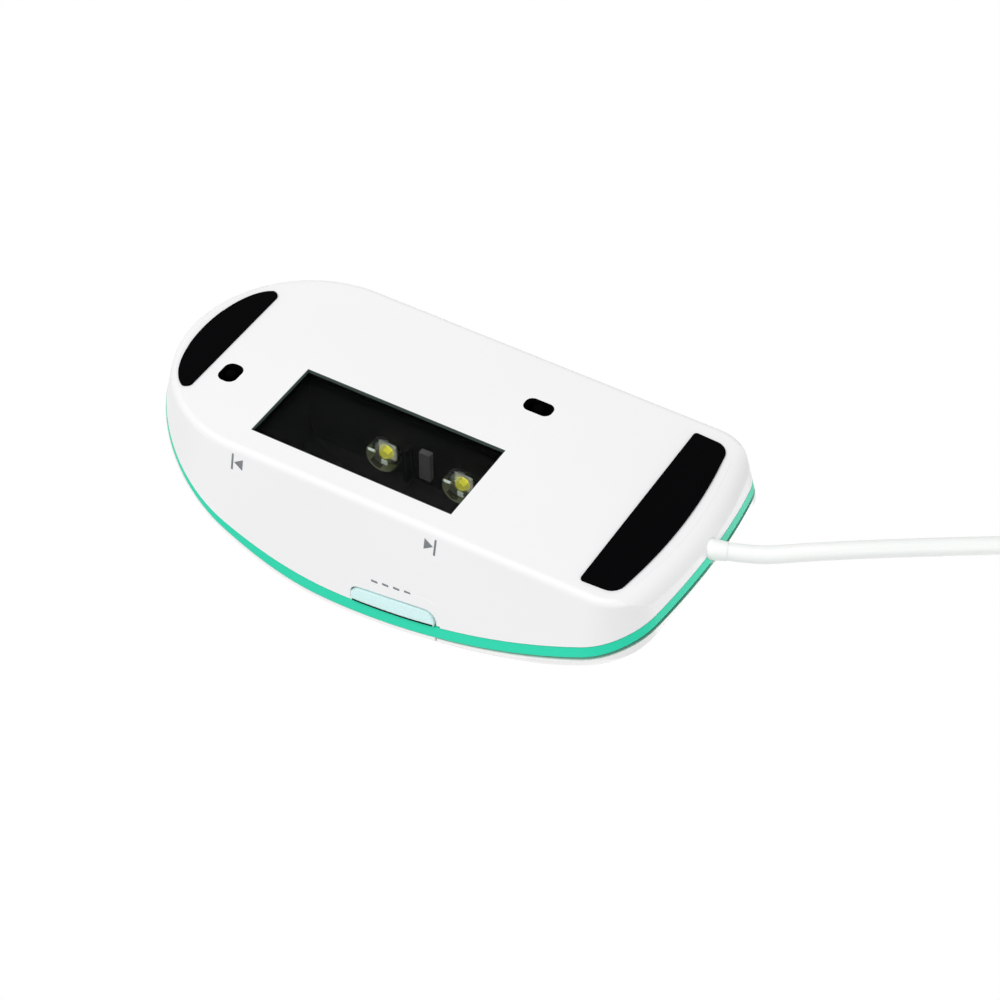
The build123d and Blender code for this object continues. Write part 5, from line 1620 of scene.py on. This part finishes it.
class Place(Enum):
    """Where a soft box stands, from the object's middle, and how strong it is."""

    UNDER_KEY = ((0.30, 0.33, -0.86), 0.9, 0.7, 0.55)
    UNDER_SIDE = ((0.52, -0.8, -0.3), 0.9, 0.6, 0.26)
    OVER_KEY = ((-0.45, -0.5, 0.75), 0.9, 0.7, 0.42)
    OVER_FILL = ((0.6, 0.45, 0.65), 0.9, 0.8, 0.2)


@dataclass
class Studio:
    """The pale floor, the soft boxes, the white surround and the camera."""

    centre: Point = (0.0, -0.03, 0.015)
    surround: float = 0.5
    floor_tone: Colour = (0.82, 0.82, 0.82)
    floor_size: float = 4.0
    lens: float = 102.6
    sensor: float = 36.0
    sight: Spot = (0.01, 50.0)
    camera_at: Point = (0.32444, -0.20700, -0.36581)
    right: Point = (-0.51187, -0.85906, 0.00288)
    down: Point = (0.61021, -0.36123, 0.70509)
    ahead: Point = (-0.60467, 0.36267, 0.70911)

    def build(self) -> None:
        """Sets the whole studio up."""
        self.set_camera()
        self.lay_floor()
        self.light_world()
        for place in Place:
            self.hang(place)
        bpy.context.scene.view_settings.view_transform = "Standard"
        log.info("studio is ready")

    def set_camera(self) -> None:
        """Puts the camera where the photographer stood, below the floor line."""
        data = bpy.data.cameras.new("camera")
        data.lens = self.lens
        data.sensor_width = self.sensor
        data.clip_start, data.clip_end = self.sight
        camera = placed("camera", data)
        across, up, back = Vector(self.right), -Vector(self.down), -Vector(self.ahead)
        turn = Matrix((across, up, back)).transposed().to_4x4()
        camera.matrix_world = Matrix.Translation(self.camera_at) @ turn
        bpy.context.scene.camera = camera

    def lay_floor(self) -> None:
        """A pale floor that shows and takes shadows from above and is open from below."""
        half = self.floor_size / 2
        mesh = bpy.data.meshes.new("floor")
        corners = [(-half, -half, 0), (half, -half, 0), (half, half, 0), (-half, half, 0)]
        mesh.from_pydata(corners, [], [(0, 1, 2, 3)])
        tree = Tree("pale_floor")
        seen = tree.sock(tree.node("ShaderNodeLightPath"), "Is Camera Ray")
        behind = tree.sock(tree.node("ShaderNodeNewGeometry"), "Backfacing")
        plain = tree.result("ShaderNodeBsdfDiffuse", {"Color": self.floor_tone})
        open_air = tree.result("ShaderNodeBsdfTransparent")
        both = tree.result("ShaderNodeMixShader", {0: seen * (1 - behind), 1: open_air, 2: plain})
        tree.node("ShaderNodeOutputMaterial", {}, {0: both})
        mesh.materials.append(tree.material)
        placed("floor", mesh)

    def light_world(self) -> None:
        """A white surround that shows in the picture and in gloss, and lights softly."""
        world = bpy.data.worlds.new("surround")
        bpy.context.scene.world = world
        world.use_nodes = True
        tree = Nodes(world.node_tree)
        ray = tree.node("ShaderNodeLightPath")
        camera, gloss, through = (
            tree.sock(ray, f"Is {kind} Ray") for kind in ("Camera", "Glossy", "Transmission")
        )
        seen = tree.maths("MAXIMUM", tree.maths("MAXIMUM", camera, gloss), through)
        inputs = {"Value": seen, "To Min": self.surround, "To Max": 1.0}
        strength = tree.result("ShaderNodeMapRange", inputs)
        white = {"Color": (1.0, 1.0, 1.0), "Strength": strength}
        tree.node("ShaderNodeOutputWorld", {}, {0: tree.result("ShaderNodeBackground", white)})

    def hang(self, place: Place) -> None:
        """Hangs one soft box, turned to the object.

        Args:
            place: Its direction, distance, size and share of the light.
        """
        way, distance, size, share = place.value
        toward = Vector(way).normalized()
        data = bpy.data.lights.new(place.name.lower(), "AREA")
        data.shape = "SQUARE"
        data.size = size
        # the power grows with the distance, so that the share is what reaches the object
        data.energy = math.pi**2 * distance**2 * share
        lamp = placed(place.name.lower(), data)
        lamp.location = Vector(self.centre) + toward * distance
        lamp.rotation_mode = "QUATERNION"
        lamp.rotation_quaternion = (-toward).to_track_quat("-Z", "Y")


def main() -> None:
    """Builds every sub-assembly in order and logs each one as it is done."""
    logging.basicConfig(level=logging.INFO, format="%(name)s: %(message)s")
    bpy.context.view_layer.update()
    Studio().build()
    Lead().build()
    assemblies = (
        Housing(),
        ScanWindow(),
        Electronics(),
        ScrollWheel(),
        ScanButton(),
        CrossScrews(),
        BoardPins(),
    )
    for part in assemblies:
        part.build()
        log.info("%s is done", type(part).__name__)


if __name__ == "__main__":
    main()
